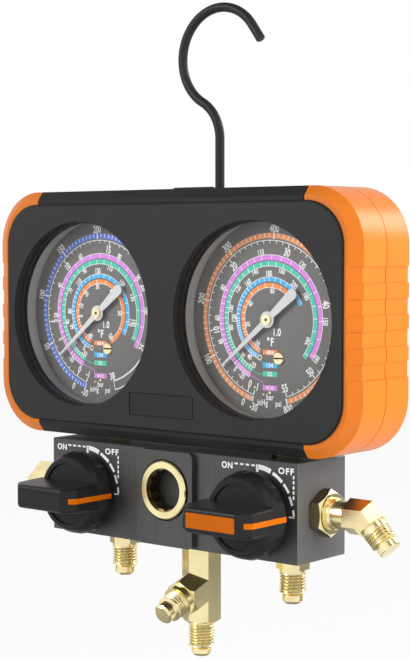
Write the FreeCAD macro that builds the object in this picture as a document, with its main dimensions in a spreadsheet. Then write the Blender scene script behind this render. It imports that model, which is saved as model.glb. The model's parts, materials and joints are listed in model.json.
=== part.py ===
"""Two-valve refrigerant manifold gauge, built as an assembly of separate pieces.

Millimetres, +Z up, the dials face -Y.  The origin is the seat of the hanging hook:
the highest point inside its loop, where a rail or a line carries the whole gauge.
Depths are written as "forward" distances: forward is -Y, measured from the middle
plane of the manifold block.  Heights are measured from the centre of the block.
"""
import FreeCAD
import Part
import Sketcher
import math
import os
import re

from FreeCAD import Placement, Rotation, Vector

doc = FreeCAD.newDocument("manifold_gauge")
sheet = doc.addObject("Spreadsheet::Sheet", "Sizes")

DRIVING_SIZES = [
    # where things stand
    ("side_pitch", 92.6, "left to right distance of valves, ports and gauges"),
    ("housing_gap", 2.55, "between the block and the housing"),
    ("hook_standoff", 2.3, "plane of the hook behind the rear face of the housing"),
    # manifold block
    ("block_width", 133.4, ""),
    ("block_depth", 32.0, ""),
    ("block_height", 40.1, ""),
    ("block_edge", 0.25, "chamfer on every outer edge"),
    ("boss_width", 29.7, "raised plate round the sight glass"),
    ("boss_rise", 2.4, ""),
    ("boss_corner", 2.4, ""),
    # sight glass
    ("glass_rise", 3.5, "axis above the block's centre"),
    ("glass_recess_radius", 12.85, ""),
    ("glass_recess_depth", 2.1, ""),
    ("glass_ring_proud", 1.0, "ring in front of the raised plate"),
    ("glass_bore_radius", 12.15, ""),
    ("glass_ring_radius", 12.1, ""),
    ("glass_ring_length", 7.8, ""),
    ("glass_mouth_radius", 9.1, ""),
    ("glass_mouth_depth", 1.7, ""),
    ("star_tip_radius", 9.1, "twelve-point drive socket"),
    ("star_valley_radius", 8.1, ""),
    ("glass_radius", 11.9, ""),
    ("glass_thickness", 4.0, ""),
    ("seal_thickness", 2.3, ""),
    ("chamber_radius", 8.5, "flow chamber behind the glass"),
    ("chamber_back", 12.0, "how far the chamber reaches behind the middle plane"),
    # valves
    ("valve_drop", 1.6, "valve axis below the block's centre"),
    ("port_back", 8.25, "ball and hose ports behind the middle plane"),
    ("gland_radius", 7.9, ""),
    ("gland_depth", 7.0, ""),
    ("gland_flats", 14.0, ""),
    ("gland_head", 2.3, ""),
    ("ball_radius", 6.0, ""),
    ("ball_bore", 2.5, "radius of the way through the ball"),
    ("ball_clearance", 0.2, ""),
    ("seat_reach", 8.0, "outer face of each seat ring from the ball's centre"),
    ("seat_radius", 4.9, ""),
    ("stem_radius", 3.0, ""),
    ("stem_stand", 5.2, "front of the stem from the back of the knob"),
    ("stem_root", 1.35, "shoulder of the stem in front of the ball"),
    ("tang_length", 3.0, ""),
    ("tang_thickness", 2.4, ""),
    ("packing_length", 6.8, ""),
    ("running_clearance", 0.05, "between a shaft and its hole"),
    ("seat_gap", 0.1, "between pieces that are screwed or pressed together"),
    ("part_gap", 0.2, "between stacked pieces of a gauge or a screwed stack"),
    # knobs
    ("knob_radius", 17.7, ""),
    ("knob_gap", 1.0, "between the gland nut and the knob"),
    ("knob_thickness", 8.9, "back to front face of the knob's round part"),
    ("knob_shoulder", 3.2, "straight part of the rim before it slopes in"),
    ("knob_face_radius", 15.2, ""),
    ("knob_rim_width", 1.9, ""),
    ("knob_panel_depth", 0.8, ""),
    ("flute_radius", 5.0, ""),
    ("flute_depth", 0.7, ""),
    ("wing_rise", 17.0, "front of the wing from the knob's round face"),
    ("wing_root_half", 17.5, "half length of the wing at the base"),
    ("wing_front_half", 17.4, "half length where the corner slope starts"),
    ("wing_nose_half", 12.4, "half length of the flat front"),
    ("wing_corner_depth", 4.5, ""),
    ("wing_root_thick", 11.4, ""),
    ("wing_front_thick", 10.0, ""),
    ("wing_edge", 1.5, "rounding of the wing's edges"),
    ("label_width", 24.0, ""),
    ("label_height", 6.0, ""),
    ("label_depth", 0.6, ""),
    ("stripe_height", 2.2, ""),
    ("stripe_depth", 0.6, ""),
    ("screw_head_radius", 2.75, "screw that holds the knob on the stem"),
    ("screw_head_height", 3.0, ""),
    ("screw_shank_radius", 1.5, ""),
    ("screw_seat_stand", 9.5, "under the head, from the front of the stem"),
    ("screw_engage", 6.0, "thread in the stem"),
    # hose ports, one quarter inch flare
    ("thread_radius", 5.555, "seven sixteenths of an inch over the thread"),
    ("nose_radius", 4.3, ""),
    ("nose_tip_radius", 3.2, ""),
    ("groove_radius", 4.3, "undercut between thread and nose"),
    ("port_shank_radius", 5.0, ""),
    ("port_shank_length", 9.4, ""),
    ("port_flats", 12.0, ""),
    ("port_hex_length", 7.3, ""),
    ("port_collar_length", 1.2, ""),
    ("port_collar_radius", 5.3, ""),
    ("port_thread_length", 8.8, ""),
    ("port_groove_length", 0.5, ""),
    ("port_nose_length", 3.6, ""),
    ("port_passage", 2.4, "radius of the way through"),
    ("port_wall", 1.4, "closed end of the passage behind the tip"),
    # centre tee
    ("tee_back", 5.6, "behind the middle plane"),
    ("tee_flats", 14.5, ""),
    ("tee_hex_length", 35.05, ""),
    ("tee_edge", 1.1, "turned corner at the ends of the hexagon"),
    ("tee_collar_length", 0.8, ""),
    ("tee_collar_radius", 5.3, ""),
    ("tee_thread_length", 10.4, ""),
    ("tee_nose_length", 3.0, ""),
    ("branch_drop", 19.2, "branch axis meets the bar this far below the block"),
    ("branch_tilt", 20.0, "degrees below level"),
    ("branch_hex_length", 13.6, ""),
    ("branch_collar_length", 3.1, ""),
    ("branch_collar_radius", 6.9, ""),
    ("branch_thread_length", 6.1, ""),
    ("branch_groove_length", 0.7, ""),
    ("branch_nose_length", 3.6, ""),
    ("branch_tip_radius", 3.5, ""),
    # side elbows
    ("elbow_drop", 1.0, "axis below the block's centre"),
    ("nut_flats", 16.8, ""),
    ("nut_thickness", 5.2, ""),
    ("nut_face_radius", 7.9, ""),
    ("nut_face_rise", 0.6, ""),
    ("nut_edge", 0.9, ""),
    ("elbow_shank_radius", 4.8, ""),
    ("elbow_shank_length", 8.7, ""),
    ("elbow_ring_radius", 6.5, ""),
    ("elbow_ring_length", 1.0, ""),
    ("elbow_neck_length", 6.5, "from the ring to the start of the hexagon"),
    ("elbow_first_leg", 7.6, "hexagon from its start to the bend"),
    ("elbow_neck_radius", 5.8, ""),
    ("elbow_angle", 45.0, "degrees below level"),
    ("elbow_flats", 12.3, ""),
    ("elbow_leg_length", 4.3, ""),
    ("elbow_collar_length", 2.2, ""),
    ("elbow_collar_radius", 5.25, ""),
    ("elbow_thread_length", 6.2, ""),
    ("elbow_groove_length", 0.7, ""),
    ("elbow_nose_length", 2.6, ""),
    ("elbow_nose_radius", 4.6, ""),
    ("elbow_tip_radius", 4.35, ""),
    # gauge stems
    ("stem_back", 3.3, "gauge stems and tubes behind the middle plane"),
    ("gauge_stem_radius", 4.75, ""),
    ("gauge_stem_engage", 7.6, ""),
    ("gauge_stem_flats", 9.8, ""),
    ("gauge_stem_hex", 8.0, ""),
    ("gauge_tube_radius", 3.9, ""),
    ("socket_width", 12.0, ""),
    ("socket_depth", 8.0, ""),
    ("socket_bottom", 33.0, "below the dial's centre"),
    ("socket_top", 21.0, "below the dial's centre"),
    # housing
    ("housing_corner", 23.0, ""),
    ("side_margin", 8.4, "housing beside the bezels"),
    ("top_margin", 9.7, "housing above and below the bezels"),
    ("side_cap_width", 25.9, "coloured cap at each side of the dark bars"),
    ("rim_inset_side", 5.4, "width of the front chamfer at the sides"),
    ("rim_inset_top", 3.8, "width of the front chamfer at top and bottom"),
    ("rim_depth_front", 2.9, "depth of the front chamfer"),
    ("rim_front", 19.5, ""),
    ("seam_front", 1.2, "forward position of the joint between the shells"),
    ("seam_gap", 0.4, "visible line between the side bumpers"),
    ("chamfer_back", 14.5, "how far the side wall reaches back"),
    ("rim_inset_rear", 3.0, "width of the rear chamfer"),
    ("rim_depth_rear", 1.6, "depth of the rear chamfer"),
    ("bar_gap", 0.4, "line between bars and side bumpers"),
    ("bumper_thickness", 2.6, ""),
    ("shell_wall", 2.4, ""),
    ("flange_thickness", 3.5, "front flange of each bumper"),
    ("band_height", 6.4, "grip bands"),
    ("band_pitch", 12.2, ""),
    ("band_depth", 0.6, ""),
    ("plate_thickness", 3.0, ""),
    ("plate_rim_side", 7.4, "housing rim beside the face plate"),
    ("plate_rim_top", 5.95, "housing rim above and below the face plate"),
    ("plate_corner_step", 6.0, "housing corner radius over the plate's"),
    ("plate_proud", 1.3, "face plate in front of the rim"),
    ("plate_edge", 0.5, ""),
    ("plate_clearance", 0.15, ""),
    ("window_radius", 39.45, ""),
    ("badge_width", 34.8, ""),
    ("badge_height", 9.6, ""),
    ("badge_rise", 10.05, "badge centre above the lower edge of the plate"),
    ("badge_depth", 0.6, ""),
    ("badge_corner", 0.8, ""),
    ("boss_radius", 3.6, ""),
    ("boss_inset_x", 15.4, "corner screws from the side of the housing"),
    ("boss_inset_z", 14.4, "corner screws from the top and bottom of the housing"),
    ("shell_screw_head", 2.9, ""),
    ("shell_screw_shank", 1.4, ""),
    ("shell_screw_sink", 4.0, "head below the rear face"),
    ("shell_screw_reach", 9.0, "forward position of the screw's tip"),
    # gauges
    ("bezel_back", 9.5, ""),
    ("lens_thickness", 1.2, ""),
    ("lens_overlap", 1.75, "lens beyond the window"),
    ("lens_gap", 2.1, "between the pointer's cap and the lens"),
    ("bezel_wall", 1.2, ""),
    ("bezel_show", 0.15, "bezel inside the window"),
    ("case_wall", 1.6, ""),
    ("case_back", 9.0, "rear face behind the middle plane"),
    ("case_floor", 1.1, ""),
    ("dial_thickness", 0.8, ""),
    ("dial_gap", 1.1, "between the movement and the dial"),
    ("adjust_x", 4.5, "adjusting screw on the dial"),
    ("adjust_drop", 15.4, ""),
    ("adjust_radius", 2.5, ""),
    ("adjust_rise", 0.7, ""),
    ("slot_width", 0.8, ""),
    ("slot_depth", 0.6, ""),
    ("pointer_thickness", 0.5, ""),
    ("pointer_gap", 1.7, "between the dial and the pointer"),
    ("hub_cap_height", 0.7, ""),
    ("pointer_reach", 30.0, ""),
    ("pointer_tail", 16.0, "centre of the round tail"),
    ("pointer_tail_radius", 2.2, ""),
    ("pointer_hub_radius", 3.3, ""),
    ("pointer_angle", 230.0, "clockwise from the top, as photographed"),
    ("hub_cap_radius", 2.1, ""),
    # movement
    ("tooth_module", 0.4, ""),
    ("pinion_teeth", 8, ""),
    ("sector_ratio", 11, "pinion turns for one turn of the sector"),
    ("mesh_backlash", 0.12, ""),
    ("pivot_angle", 235.0, "sector pivot seen from the pinion, anticlockwise from +X"),
    ("arbor_radius", 0.7, ""),
    ("pivot_radius", 1.0, ""),
    ("gear_thickness", 1.6, ""),
    ("gear_play", 0.7, "between the gears and the front plate"),
    ("rear_plate_back", 0.7, ""),
    ("rear_plate_thickness", 0.8, ""),
    ("front_plate_thickness", 0.8, ""),
    ("tail_length", 5.0, ""),
    ("link_thickness", 0.4, ""),
    ("link_pin_radius", 0.5, ""),
    ("tube_radius", 26.0, "mean radius of the pressure tube"),
    ("tube_wide", 7.0, ""),
    ("tube_thin", 2.6, ""),
    ("tube_start", 14.2, "degrees from straight down"),
    ("tube_sweep", 255.8, "degrees"),
    # hook and its bracket
    ("wire_radius", 2.0, ""),
    ("rod_x", -0.4, ""),
    ("wire_bend", 4.0, ""),
    ("hinge_drop", 1.8, "fold axis below the top of the housing"),
    ("hook_height", 77.3, "hook seat above the fold axis"),
    ("hook_loop_radius", 21.0, "centre line"),
    ("hook_neck_radius", 18.0, "centre line"),
    ("hook_tip_angle", 36.0, "where the loop ends, above level on the right"),
    ("hook_tip_length", 8.0, ""),
    ("barrel_radius", 3.76, ""),
    ("barrel_left", 25.0, ""),
    ("barrel_wire_end", 24.0, ""),
    ("bracket_thickness", 1.9, ""),
    ("bracket_height", 18.0, "plate below the fold axis"),
    ("bracket_screw_x", 6.5, "from the middle of the bracket"),
    ("bracket_screw_drop", 12.5, "below the fold axis"),
    ("bracket_screw_head", 2.6, ""),
    ("bracket_screw_shank", 1.4, ""),
]

# Sizes that follow from the ones above

FOLLOWING_SIZES = [
    # valves and sight glass, as distances forward of the block's middle plane
    ("stem_shoulder", "port_back - ball_radius - stem_root", "behind the middle plane"),
    ("knob_back", "block_depth / 2 + gland_head + knob_gap", ""),
    ("knob_face", "knob_back + knob_thickness", ""),
    ("wing_front", "knob_face + wing_rise", ""),
    ("stem_front", "knob_back + stem_stand", ""),
    ("screw_seat", "stem_front + screw_seat_stand", ""),
    ("screw_tip", "stem_front - screw_engage", ""),
    ("glass_ring_front", "block_depth / 2 + boss_rise + glass_ring_proud", ""),
    ("glass_ring_back", "glass_ring_front - glass_ring_length", ""),
    ("glass_back", "glass_ring_back - seat_gap - glass_thickness", ""),
    ("glass_bore_floor", "glass_back - part_gap - seal_thickness", "the step that the seal sits on"),
    # elbows, from the block's side
    ("elbow_neck_end",
     "nut_thickness + nut_face_rise + part_gap + elbow_ring_length + elbow_neck_length", ""),
    ("elbow_bend", "elbow_neck_end + elbow_first_leg", ""),
    # movement and gauge, forward of the middle plane
    ("link_back", "rear_plate_back + rear_plate_thickness + part_gap", ""),
    ("gear_back", "link_back + link_thickness + part_gap", ""),
    ("front_plate_back", "gear_back + gear_thickness + gear_play", ""),
    ("dial_face", "front_plate_back + front_plate_thickness + dial_gap + dial_thickness", ""),
    ("pointer_back", "dial_face + pointer_gap", ""),
    ("hub_cap_front", "pointer_back + pointer_thickness + hub_cap_height", ""),
    ("lens_back", "hub_cap_front + lens_gap", ""),
    # gauges from the window outwards
    ("lens_radius", "window_radius + lens_overlap", ""),
    ("case_radius", "lens_radius + 2 * seat_gap", ""),
    ("case_inner", "case_radius - case_wall", ""),
    ("dial_radius", "case_inner - part_gap", ""),
    ("bezel_radius", "case_radius + seat_gap + bezel_wall", ""),
    ("bezel_inner", "window_radius - bezel_show", ""),
    # housing round the gauges
    ("housing_half_width", "side_pitch / 2 + bezel_radius + side_margin", ""),
    ("housing_half_height", "bezel_radius + top_margin", ""),
    ("housing_rise", "block_height / 2 + housing_gap + housing_half_height", "above the block's centre"),
    ("chamfer_front", "rim_front - rim_depth_front", ""),
    ("back_face", "chamfer_back + rim_depth_rear", ""),
    ("bar_half_width", "housing_half_width - side_cap_width", ""),
    ("plate_half_width", "housing_half_width - plate_rim_side", ""),
    ("plate_half_height", "housing_half_height - plate_rim_top", ""),
    ("plate_corner", "housing_corner - plate_corner_step", ""),
    ("plate_front", "rim_front + plate_proud", ""),
    ("badge_drop", "plate_half_height - badge_rise", "below the dials' centre"),
    ("boss_pitch_x", "2 * (housing_half_width - boss_inset_x)", ""),
    ("boss_pitch_z", "2 * (housing_half_height - boss_inset_z)", ""),
    # hook
    ("hook_back", "back_face + hook_standoff", "behind the middle plane"),
    ("hinge_rise", "housing_rise + housing_half_height - hinge_drop", "above the block's centre"),
    ("seat_rise", "hinge_rise + hook_height", "above the block's centre"),
]


def fill_sheet():
    plain = [(alias, str(size), note) for alias, size, note in DRIVING_SIZES]
    worked_out = [(alias, f"={text}", note) for alias, text, note in FOLLOWING_SIZES]
    for row, (alias, cell, note) in enumerate(plain + worked_out, start=1):
        sheet.setAlias(f"B{row}", alias)
        sheet.set(f"A{row}", alias)
        sheet.set(f"B{row}", cell)
        sheet.set(f"C{row}", note)
    doc.recompute()


fill_sheet()

ALIASES = {row[0] for row in DRIVING_SIZES + FOLLOWING_SIZES}


def formula(text):
    """Turn plain size names into references to the sheet."""
    def named(match):
        word = match.group(0)
        return f"Sizes.{word}" if word in ALIASES else word
    return re.sub(r"[a-z_][a-z_0-9]*", named, str(text))


def number(text):
    """The present value of a formula, for counts and first guesses."""
    value = sheet.evalExpression(formula(text))
    return float(getattr(value, "Value", value))


def bind(item, path, text):
    """Bind one property of an object to a formula of the sheet."""
    item.setExpression(path, formula(text))


# Shared places, as formulas of the driving sizes

SIDE_X = "side_pitch / 2"
BLOCK_FRONT = "block_depth / 2"
BLOCK_SIDE = "block_width / 2"
BLOCK_TOP = "block_height / 2"
BOSS_FRONT = "block_depth / 2 + boss_rise"
PLATE_BACK = "plate_front - plate_thickness"
DIAL_BACK = "dial_face - dial_thickness"
TEE_HALF_CORNER = "tee_flats / sqrt(3)"
MESH_DISTANCE = "tooth_module * pinion_teeth * (1 + sector_ratio) / 2"
BRACKET_RIGHT = "wire_bend - rod_x + 0.3"
BRACKET_MIDDLE = f"(barrel_left + {BRACKET_RIGHT}) / 2"


# Sketch and feature helpers

def new_body(name):
    body = doc.addObject("PartDesign::Body", name)
    body.Label = name
    return body


def place(item, x="0", forward="0", up="0"):
    """Stand a piece in the frame of the hook seat."""
    bind(item, ".Placement.Base.x", x)
    bind(item, ".Placement.Base.y", f"-(hook_back) - ({forward})")
    bind(item, ".Placement.Base.z", f"({up}) - seat_rise")


def origin_plane(body, role):
    for feature in body.Origin.OriginFeatures:
        if feature.Role == role:
            return feature
    raise ValueError(f"no origin plane {role}")


def sketch_on(body, role, offset="0", shift=("0", "0")):
    """A sketch on one origin plane of its body, moved along the plane's normal."""
    sketch = body.newObject("Sketcher::SketchObject", f"{body.Name}_sketch")
    sketch.AttachmentSupport = [(origin_plane(body, role), "")]
    sketch.MapMode = "FlatFace"
    bind(sketch, ".AttachmentOffset.Base.x", shift[0])
    bind(sketch, ".AttachmentOffset.Base.y", shift[1])
    bind(sketch, ".AttachmentOffset.Base.z", offset)
    return sketch


def datum(sketch, kind, elements, text):
    """Add a dimension and bind it to a formula."""
    index = sketch.addConstraint(Sketcher.Constraint(kind, *elements, number(text)))
    bind(sketch, f"Constraints[{index}]", text)


def outline(sketch, points):
    """A closed run of straight lines with every corner bound to formulas."""
    spots = [Vector(number(x), number(y), 0) for x, y in points]
    count = len(spots)
    lines = []
    for i in range(count):
        lines.append(sketch.addGeometry(Part.LineSegment(spots[i], spots[(i + 1) % count]), False))
    for i, line in enumerate(lines):
        follower = lines[(i + 1) % count]
        sketch.addConstraint(Sketcher.Constraint("Coincident", line, 2, follower, 1))
    for line, (x, y) in zip(lines, points):
        datum(sketch, "DistanceX", (-1, 1, line, 1), x)
        datum(sketch, "DistanceY", (-1, 1, line, 1), y)
    return lines


def circle(sketch, radius, x="0", y="0"):
    """A circle with its centre and radius bound to formulas."""
    shape = Part.Circle(Vector(number(x), number(y), 0), Vector(0, 0, 1), number(radius))
    index = sketch.addGeometry(shape, False)
    datum(sketch, "DistanceX", (-1, 1, index, 3), x)
    datum(sketch, "DistanceY", (-1, 1, index, 3), y)
    datum(sketch, "Radius", (index,), radius)
    return index


def rounded_box(sketch, left, right, bottom, top, radius, rounded="all"):
    """An upright box outline; corners on the named side, or all, are arcs."""
    x0, x1 = number(left), number(right)
    y0, y1 = number(bottom), number(top)
    r = number(radius)
    corners = [(x1, y1, "right"), (x0, y1, "left"), (x0, y0, "left"), (x1, y0, "right")]
    inward = [(-1, -1), (1, -1), (1, 1), (-1, 1)]
    arcs = []
    ends = []
    for i, (x, y, side) in enumerate(corners):
        if rounded not in ("all", side):
            arcs.append(None)
            ends.append((Vector(x, y, 0), Vector(x, y, 0)))
            continue
        centre = Vector(x + inward[i][0] * r, y + inward[i][1] * r, 0)
        round_edge = Part.Circle(centre, Vector(0, 0, 1), r)
        arc = Part.ArcOfCircle(round_edge, i * math.pi / 2, (i + 1) * math.pi / 2)
        arcs.append(sketch.addGeometry(arc, False))
        ends.append((arc.StartPoint, arc.EndPoint))
    lines = []
    for i in range(4):
        start = ends[i][1]
        finish = ends[(i + 1) % 4][0]
        lines.append(sketch.addGeometry(Part.LineSegment(start, finish), False))
    for i in range(4):
        arc = arcs[i]
        before = lines[i - 1]
        after = lines[i]
        if arc is None:
            sketch.addConstraint(Sketcher.Constraint("Coincident", before, 2, after, 1))
            continue
        sketch.addConstraint(Sketcher.Constraint("Tangent", before, 2, arc, 1))
        sketch.addConstraint(Sketcher.Constraint("Tangent", arc, 2, after, 1))
        datum(sketch, "Radius", (arc,), radius)
    for line, kind in zip(lines, ("Horizontal", "Vertical", "Horizontal", "Vertical")):
        sketch.addConstraint(Sketcher.Constraint(kind, line))
    datum(sketch, "DistanceY", (-1, 1, lines[0], 1), top)
    datum(sketch, "DistanceX", (-1, 1, lines[1], 1), left)
    datum(sketch, "DistanceY", (-1, 1, lines[2], 1), bottom)
    datum(sketch, "DistanceX", (-1, 1, lines[3], 1), right)


def hexagon(sketch, flats, x="0", y="0", corner_up=True):
    """A hexagon over its flats, with a corner along the sketch's y or x axis."""
    points = []
    for i in range(6):
        angle = 60 * i + (90 if corner_up else 0)
        points.append((f"({x}) + ({flats}) / sqrt(3) * cos({angle})",
                       f"({y}) + ({flats}) / sqrt(3) * sin({angle})"))
    outline(sketch, points)


def pad(body, sketch, length, reverse=False, middle=False):
    feature = body.newObject("PartDesign::Pad", f"{body.Name}_pad")
    feature.Profile = sketch
    bind(feature, "Length", length)
    feature.Reversed = reverse
    feature.Midplane = middle
    return feature


def pocket(body, sketch, length, reverse=False, middle=False):
    """Cut along the sketch's own backward side, and make sure that it cuts."""
    doc.recompute()
    before = body.Shape.Volume
    feature = body.newObject("PartDesign::Pocket", f"{body.Name}_pocket")
    feature.Profile = sketch
    bind(feature, "Length", length)
    feature.Reversed = reverse
    feature.Midplane = middle
    doc.recompute()
    if not body.Shape.Volume < before - 1e-6:
        raise RuntimeError(f"a pocket of {body.Label} cuts nothing")
    return feature


def revolve(body, sketch, axis, sweep="360"):
    feature = body.newObject("PartDesign::Revolution", f"{body.Name}_turned")
    feature.Profile = sketch
    feature.ReferenceAxis = (sketch, [axis])
    bind(feature, "Angle", sweep)
    return feature


def turned_up(body, points, shift="0"):
    """Turn a profile of (radius, height) round the body's Z axis."""
    sketch = sketch_on(body, "XZ_Plane", shift)
    outline(sketch, points)
    return revolve(body, sketch, "V_Axis")


def turned_forward(body, points):
    """Turn a profile of (radius, forward) round the body's Y axis."""
    sketch = sketch_on(body, "XY_Plane")
    outline(sketch, [(radius, f"-({forward})") for radius, forward in points])
    return revolve(body, sketch, "V_Axis")


def edges_where(body, test):
    """Names of the edges whose middle point passes a test."""
    doc.recompute()
    names = []
    for i, edge in enumerate(body.Shape.Edges, start=1):
        middle = edge.valueAt((edge.FirstParameter + edge.LastParameter) / 2)
        if test(edge, body.Placement.inverse().multVec(middle)):
            names.append(f"Edge{i}")
    if not names:
        raise RuntimeError(f"no edge found on {body.Label}")
    return names


def dress(body, kind, size, test):
    """Chamfer or Fillet of the edges that pass a test."""
    names = edges_where(body, test)
    base = body.Tip
    feature = body.newObject(f"PartDesign::{kind}", f"{body.Name}_edge")
    feature.Base = (base, names)
    bind(feature, "Size" if kind == "Chamfer" else "Radius", size)
    return feature


def straight(edge):
    return isinstance(edge.Curve, Part.Line)


def mirrored_pair(name, piece):
    """One node of two like solids, left and right of the middle."""
    other = doc.addObject("Part::Mirroring", f"{name}_other")
    other.Source = piece
    other.Base = Vector(0, 0, 0)
    other.Normal = Vector(1, 0, 0)
    pair = doc.addObject("Part::Compound", name)
    pair.Links = [piece, other]
    pair.Label = name
    return pair


NODES = []


def keep(*pieces):
    NODES.extend(pieces)


# Manifold block

def make_block():
    body = new_body("manifold_block")
    place(body)
    sketch = sketch_on(body, "XZ_Plane")
    rounded_box(sketch, f"-{BLOCK_SIDE}", BLOCK_SIDE, f"-{BLOCK_TOP}", BLOCK_TOP, "0", "none")
    pad(body, sketch, "block_depth", middle=True)
    dress(body, "Chamfer", "block_edge", lambda edge, at: True)

    sketch = sketch_on(body, "XZ_Plane", BLOCK_FRONT)
    rounded_box(sketch, "-boss_width / 2", "boss_width / 2", f"-{BLOCK_TOP} + block_edge",
                f"{BLOCK_TOP} - block_edge", "boss_corner")
    pad(body, sketch, "boss_rise")

    glass_steps = [
        ("glass_recess_radius", BOSS_FRONT, "glass_recess_depth"),
        ("glass_bore_radius", BOSS_FRONT, f"{BOSS_FRONT} - glass_bore_floor"),
        ("chamber_radius", "glass_bore_floor", "glass_bore_floor + chamber_back"),
    ]
    for radius, start, depth in glass_steps:
        sketch = sketch_on(body, "XZ_Plane", start)
        circle(sketch, radius, "0", "glass_rise")
        pocket(body, sketch, depth)

    for side in ("-", ""):
        x = f"{side}side_pitch / 2"
        sketch = sketch_on(body, "XZ_Plane", BLOCK_FRONT)
        circle(sketch, "gland_radius + seat_gap", x, "-valve_drop")
        pocket(body, sketch, "gland_depth")
        sketch = sketch_on(body, "XZ_Plane", BLOCK_FRONT)
        circle(sketch, "ball_radius + ball_clearance", x, "-valve_drop")
        pocket(body, sketch, f"{BLOCK_FRONT} + port_back + ball_radius + ball_clearance")
        sketch = sketch_on(body, "XY_Plane", f"-{BLOCK_TOP}")
        circle(sketch, "port_shank_radius + seat_gap", x, "port_back")
        pocket(body, sketch, "port_shank_length + 2 * seat_gap", reverse=True)
        sketch = sketch_on(body, "XY_Plane", "-valve_drop")
        circle(sketch, "seat_radius + running_clearance", x, "port_back")
        pocket(body, sketch, "2 * (seat_reach + seat_gap)", middle=True)
        sketch = sketch_on(body, "XY_Plane", "-valve_drop")
        circle(sketch, "ball_bore", x, "port_back")
        pocket(body, sketch, "seat_reach + 3", reverse=True)
        sketch = sketch_on(body, "XY_Plane", BLOCK_TOP)
        circle(sketch, "gauge_stem_radius + running_clearance", x, "stem_back")
        pocket(body, sketch, "gauge_stem_engage + seat_gap")
        sketch = sketch_on(body, "XY_Plane", BLOCK_TOP)
        circle(sketch, "ball_bore / 2", x, "stem_back")
        pocket(body, sketch, f"{BLOCK_TOP} + valve_drop - ball_radius + 1")

    sketch = sketch_on(body, "XY_Plane", f"-{BLOCK_TOP}")
    circle(sketch, "port_shank_radius + seat_gap", "0", "tee_back")
    pocket(body, sketch, "port_shank_length + 2 * seat_gap", reverse=True)
    sketch = sketch_on(body, "XY_Plane", f"-{BLOCK_TOP}")
    circle(sketch, "ball_bore", "0", "tee_back")
    pocket(body, sketch, f"{BLOCK_TOP} + glass_rise - chamber_radius + 1", reverse=True)

    sketch = sketch_on(body, "YZ_Plane")
    circle(sketch, "ball_bore", "port_back", "seat_reach + 1 - valve_drop + 1.5")
    pocket(body, sketch, "side_pitch + 2 * ball_bore", middle=True)

    for side in ("-", ""):
        sketch = sketch_on(body, "YZ_Plane", f"{side}{BLOCK_SIDE}")
        circle(sketch, "elbow_shank_radius + running_clearance", "0", "-elbow_drop")
        pocket(body, sketch, "elbow_shank_length + seat_gap", reverse=side == "-")
    keep(body)


# Sight glass: screwed ring with a twelve-point socket, glass and seal

def make_sight_glass():
    ring = new_body("sight_glass_ring")
    place(ring, up="glass_rise")
    edge = "0.4"
    turned_forward(ring, [
        ("star_valley_radius - 1.5", "glass_ring_back"),
        ("glass_ring_radius", "glass_ring_back"),
        ("glass_ring_radius", f"glass_ring_front - {edge}"),
        (f"glass_ring_radius - {edge}", "glass_ring_front"),
        ("glass_mouth_radius", "glass_ring_front"),
        ("glass_mouth_radius", "glass_ring_front - glass_mouth_depth"),
        ("star_valley_radius - 1.5", "glass_ring_front - glass_mouth_depth"),
    ])
    sketch = sketch_on(ring, "XZ_Plane", "glass_ring_front")
    points = []
    for i in range(24):
        radius = "star_tip_radius" if i % 2 == 0 else "star_valley_radius"
        points.append((f"{radius} * cos({15 * i})", f"{radius} * sin({15 * i})"))
    outline(sketch, points)
    pocket(ring, sketch, "glass_ring_length")

    glass = new_body("sight_glass_window")
    place(glass, up="glass_rise")
    front = "glass_back + glass_thickness"
    turned_forward(glass, [
        ("0", "glass_back"),
        ("glass_radius", "glass_back"),
        ("glass_radius", front),
        ("0", front),
    ])

    seal = new_body("sight_glass_seal")
    place(seal, up="glass_rise")
    turned_forward(seal, [
        ("chamber_radius + 0.6", "glass_bore_floor"),
        ("glass_radius", "glass_bore_floor"),
        ("glass_radius", "glass_bore_floor + seal_thickness"),
        ("chamber_radius + 0.6", "glass_bore_floor + seal_thickness"),
    ])
    keep(ring, glass, seal)


# Valves: seats and gland on the block, ball, stem and knob that turn

def make_valve_seats():
    solids = []
    for name, turn in (("lower", 180), ("upper", 0)):
        ring = doc.addObject("Part::Cylinder", f"seat_{name}_ring")
        bind(ring, "Radius", "seat_radius")
        bind(ring, "Height", "seat_reach")
        hole = doc.addObject("Part::Cylinder", f"seat_{name}_hole")
        bind(hole, "Radius", "ball_bore")
        bind(hole, "Height", "seat_reach")
        hollow = doc.addObject("Part::Sphere", f"seat_{name}_hollow")
        bind(hollow, "Radius", "ball_radius + ball_clearance / 2")
        cutters = doc.addObject("Part::MultiFuse", f"seat_{name}_cutters")
        cutters.Shapes = [hole, hollow]
        seat = doc.addObject("Part::Cut", f"seat_{name}")
        seat.Base = ring
        seat.Tool = cutters
        seat.Placement = Placement(Vector(0, 0, 0), Rotation(Vector(1, 0, 0), turn))
        place(seat, SIDE_X, "-port_back", "-valve_drop")
        solids.append(seat)
    pair = doc.addObject("Part::Compound", "seats_of_one_valve")
    pair.Links = solids
    keep(mirrored_pair("valve_seats", pair))


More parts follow.
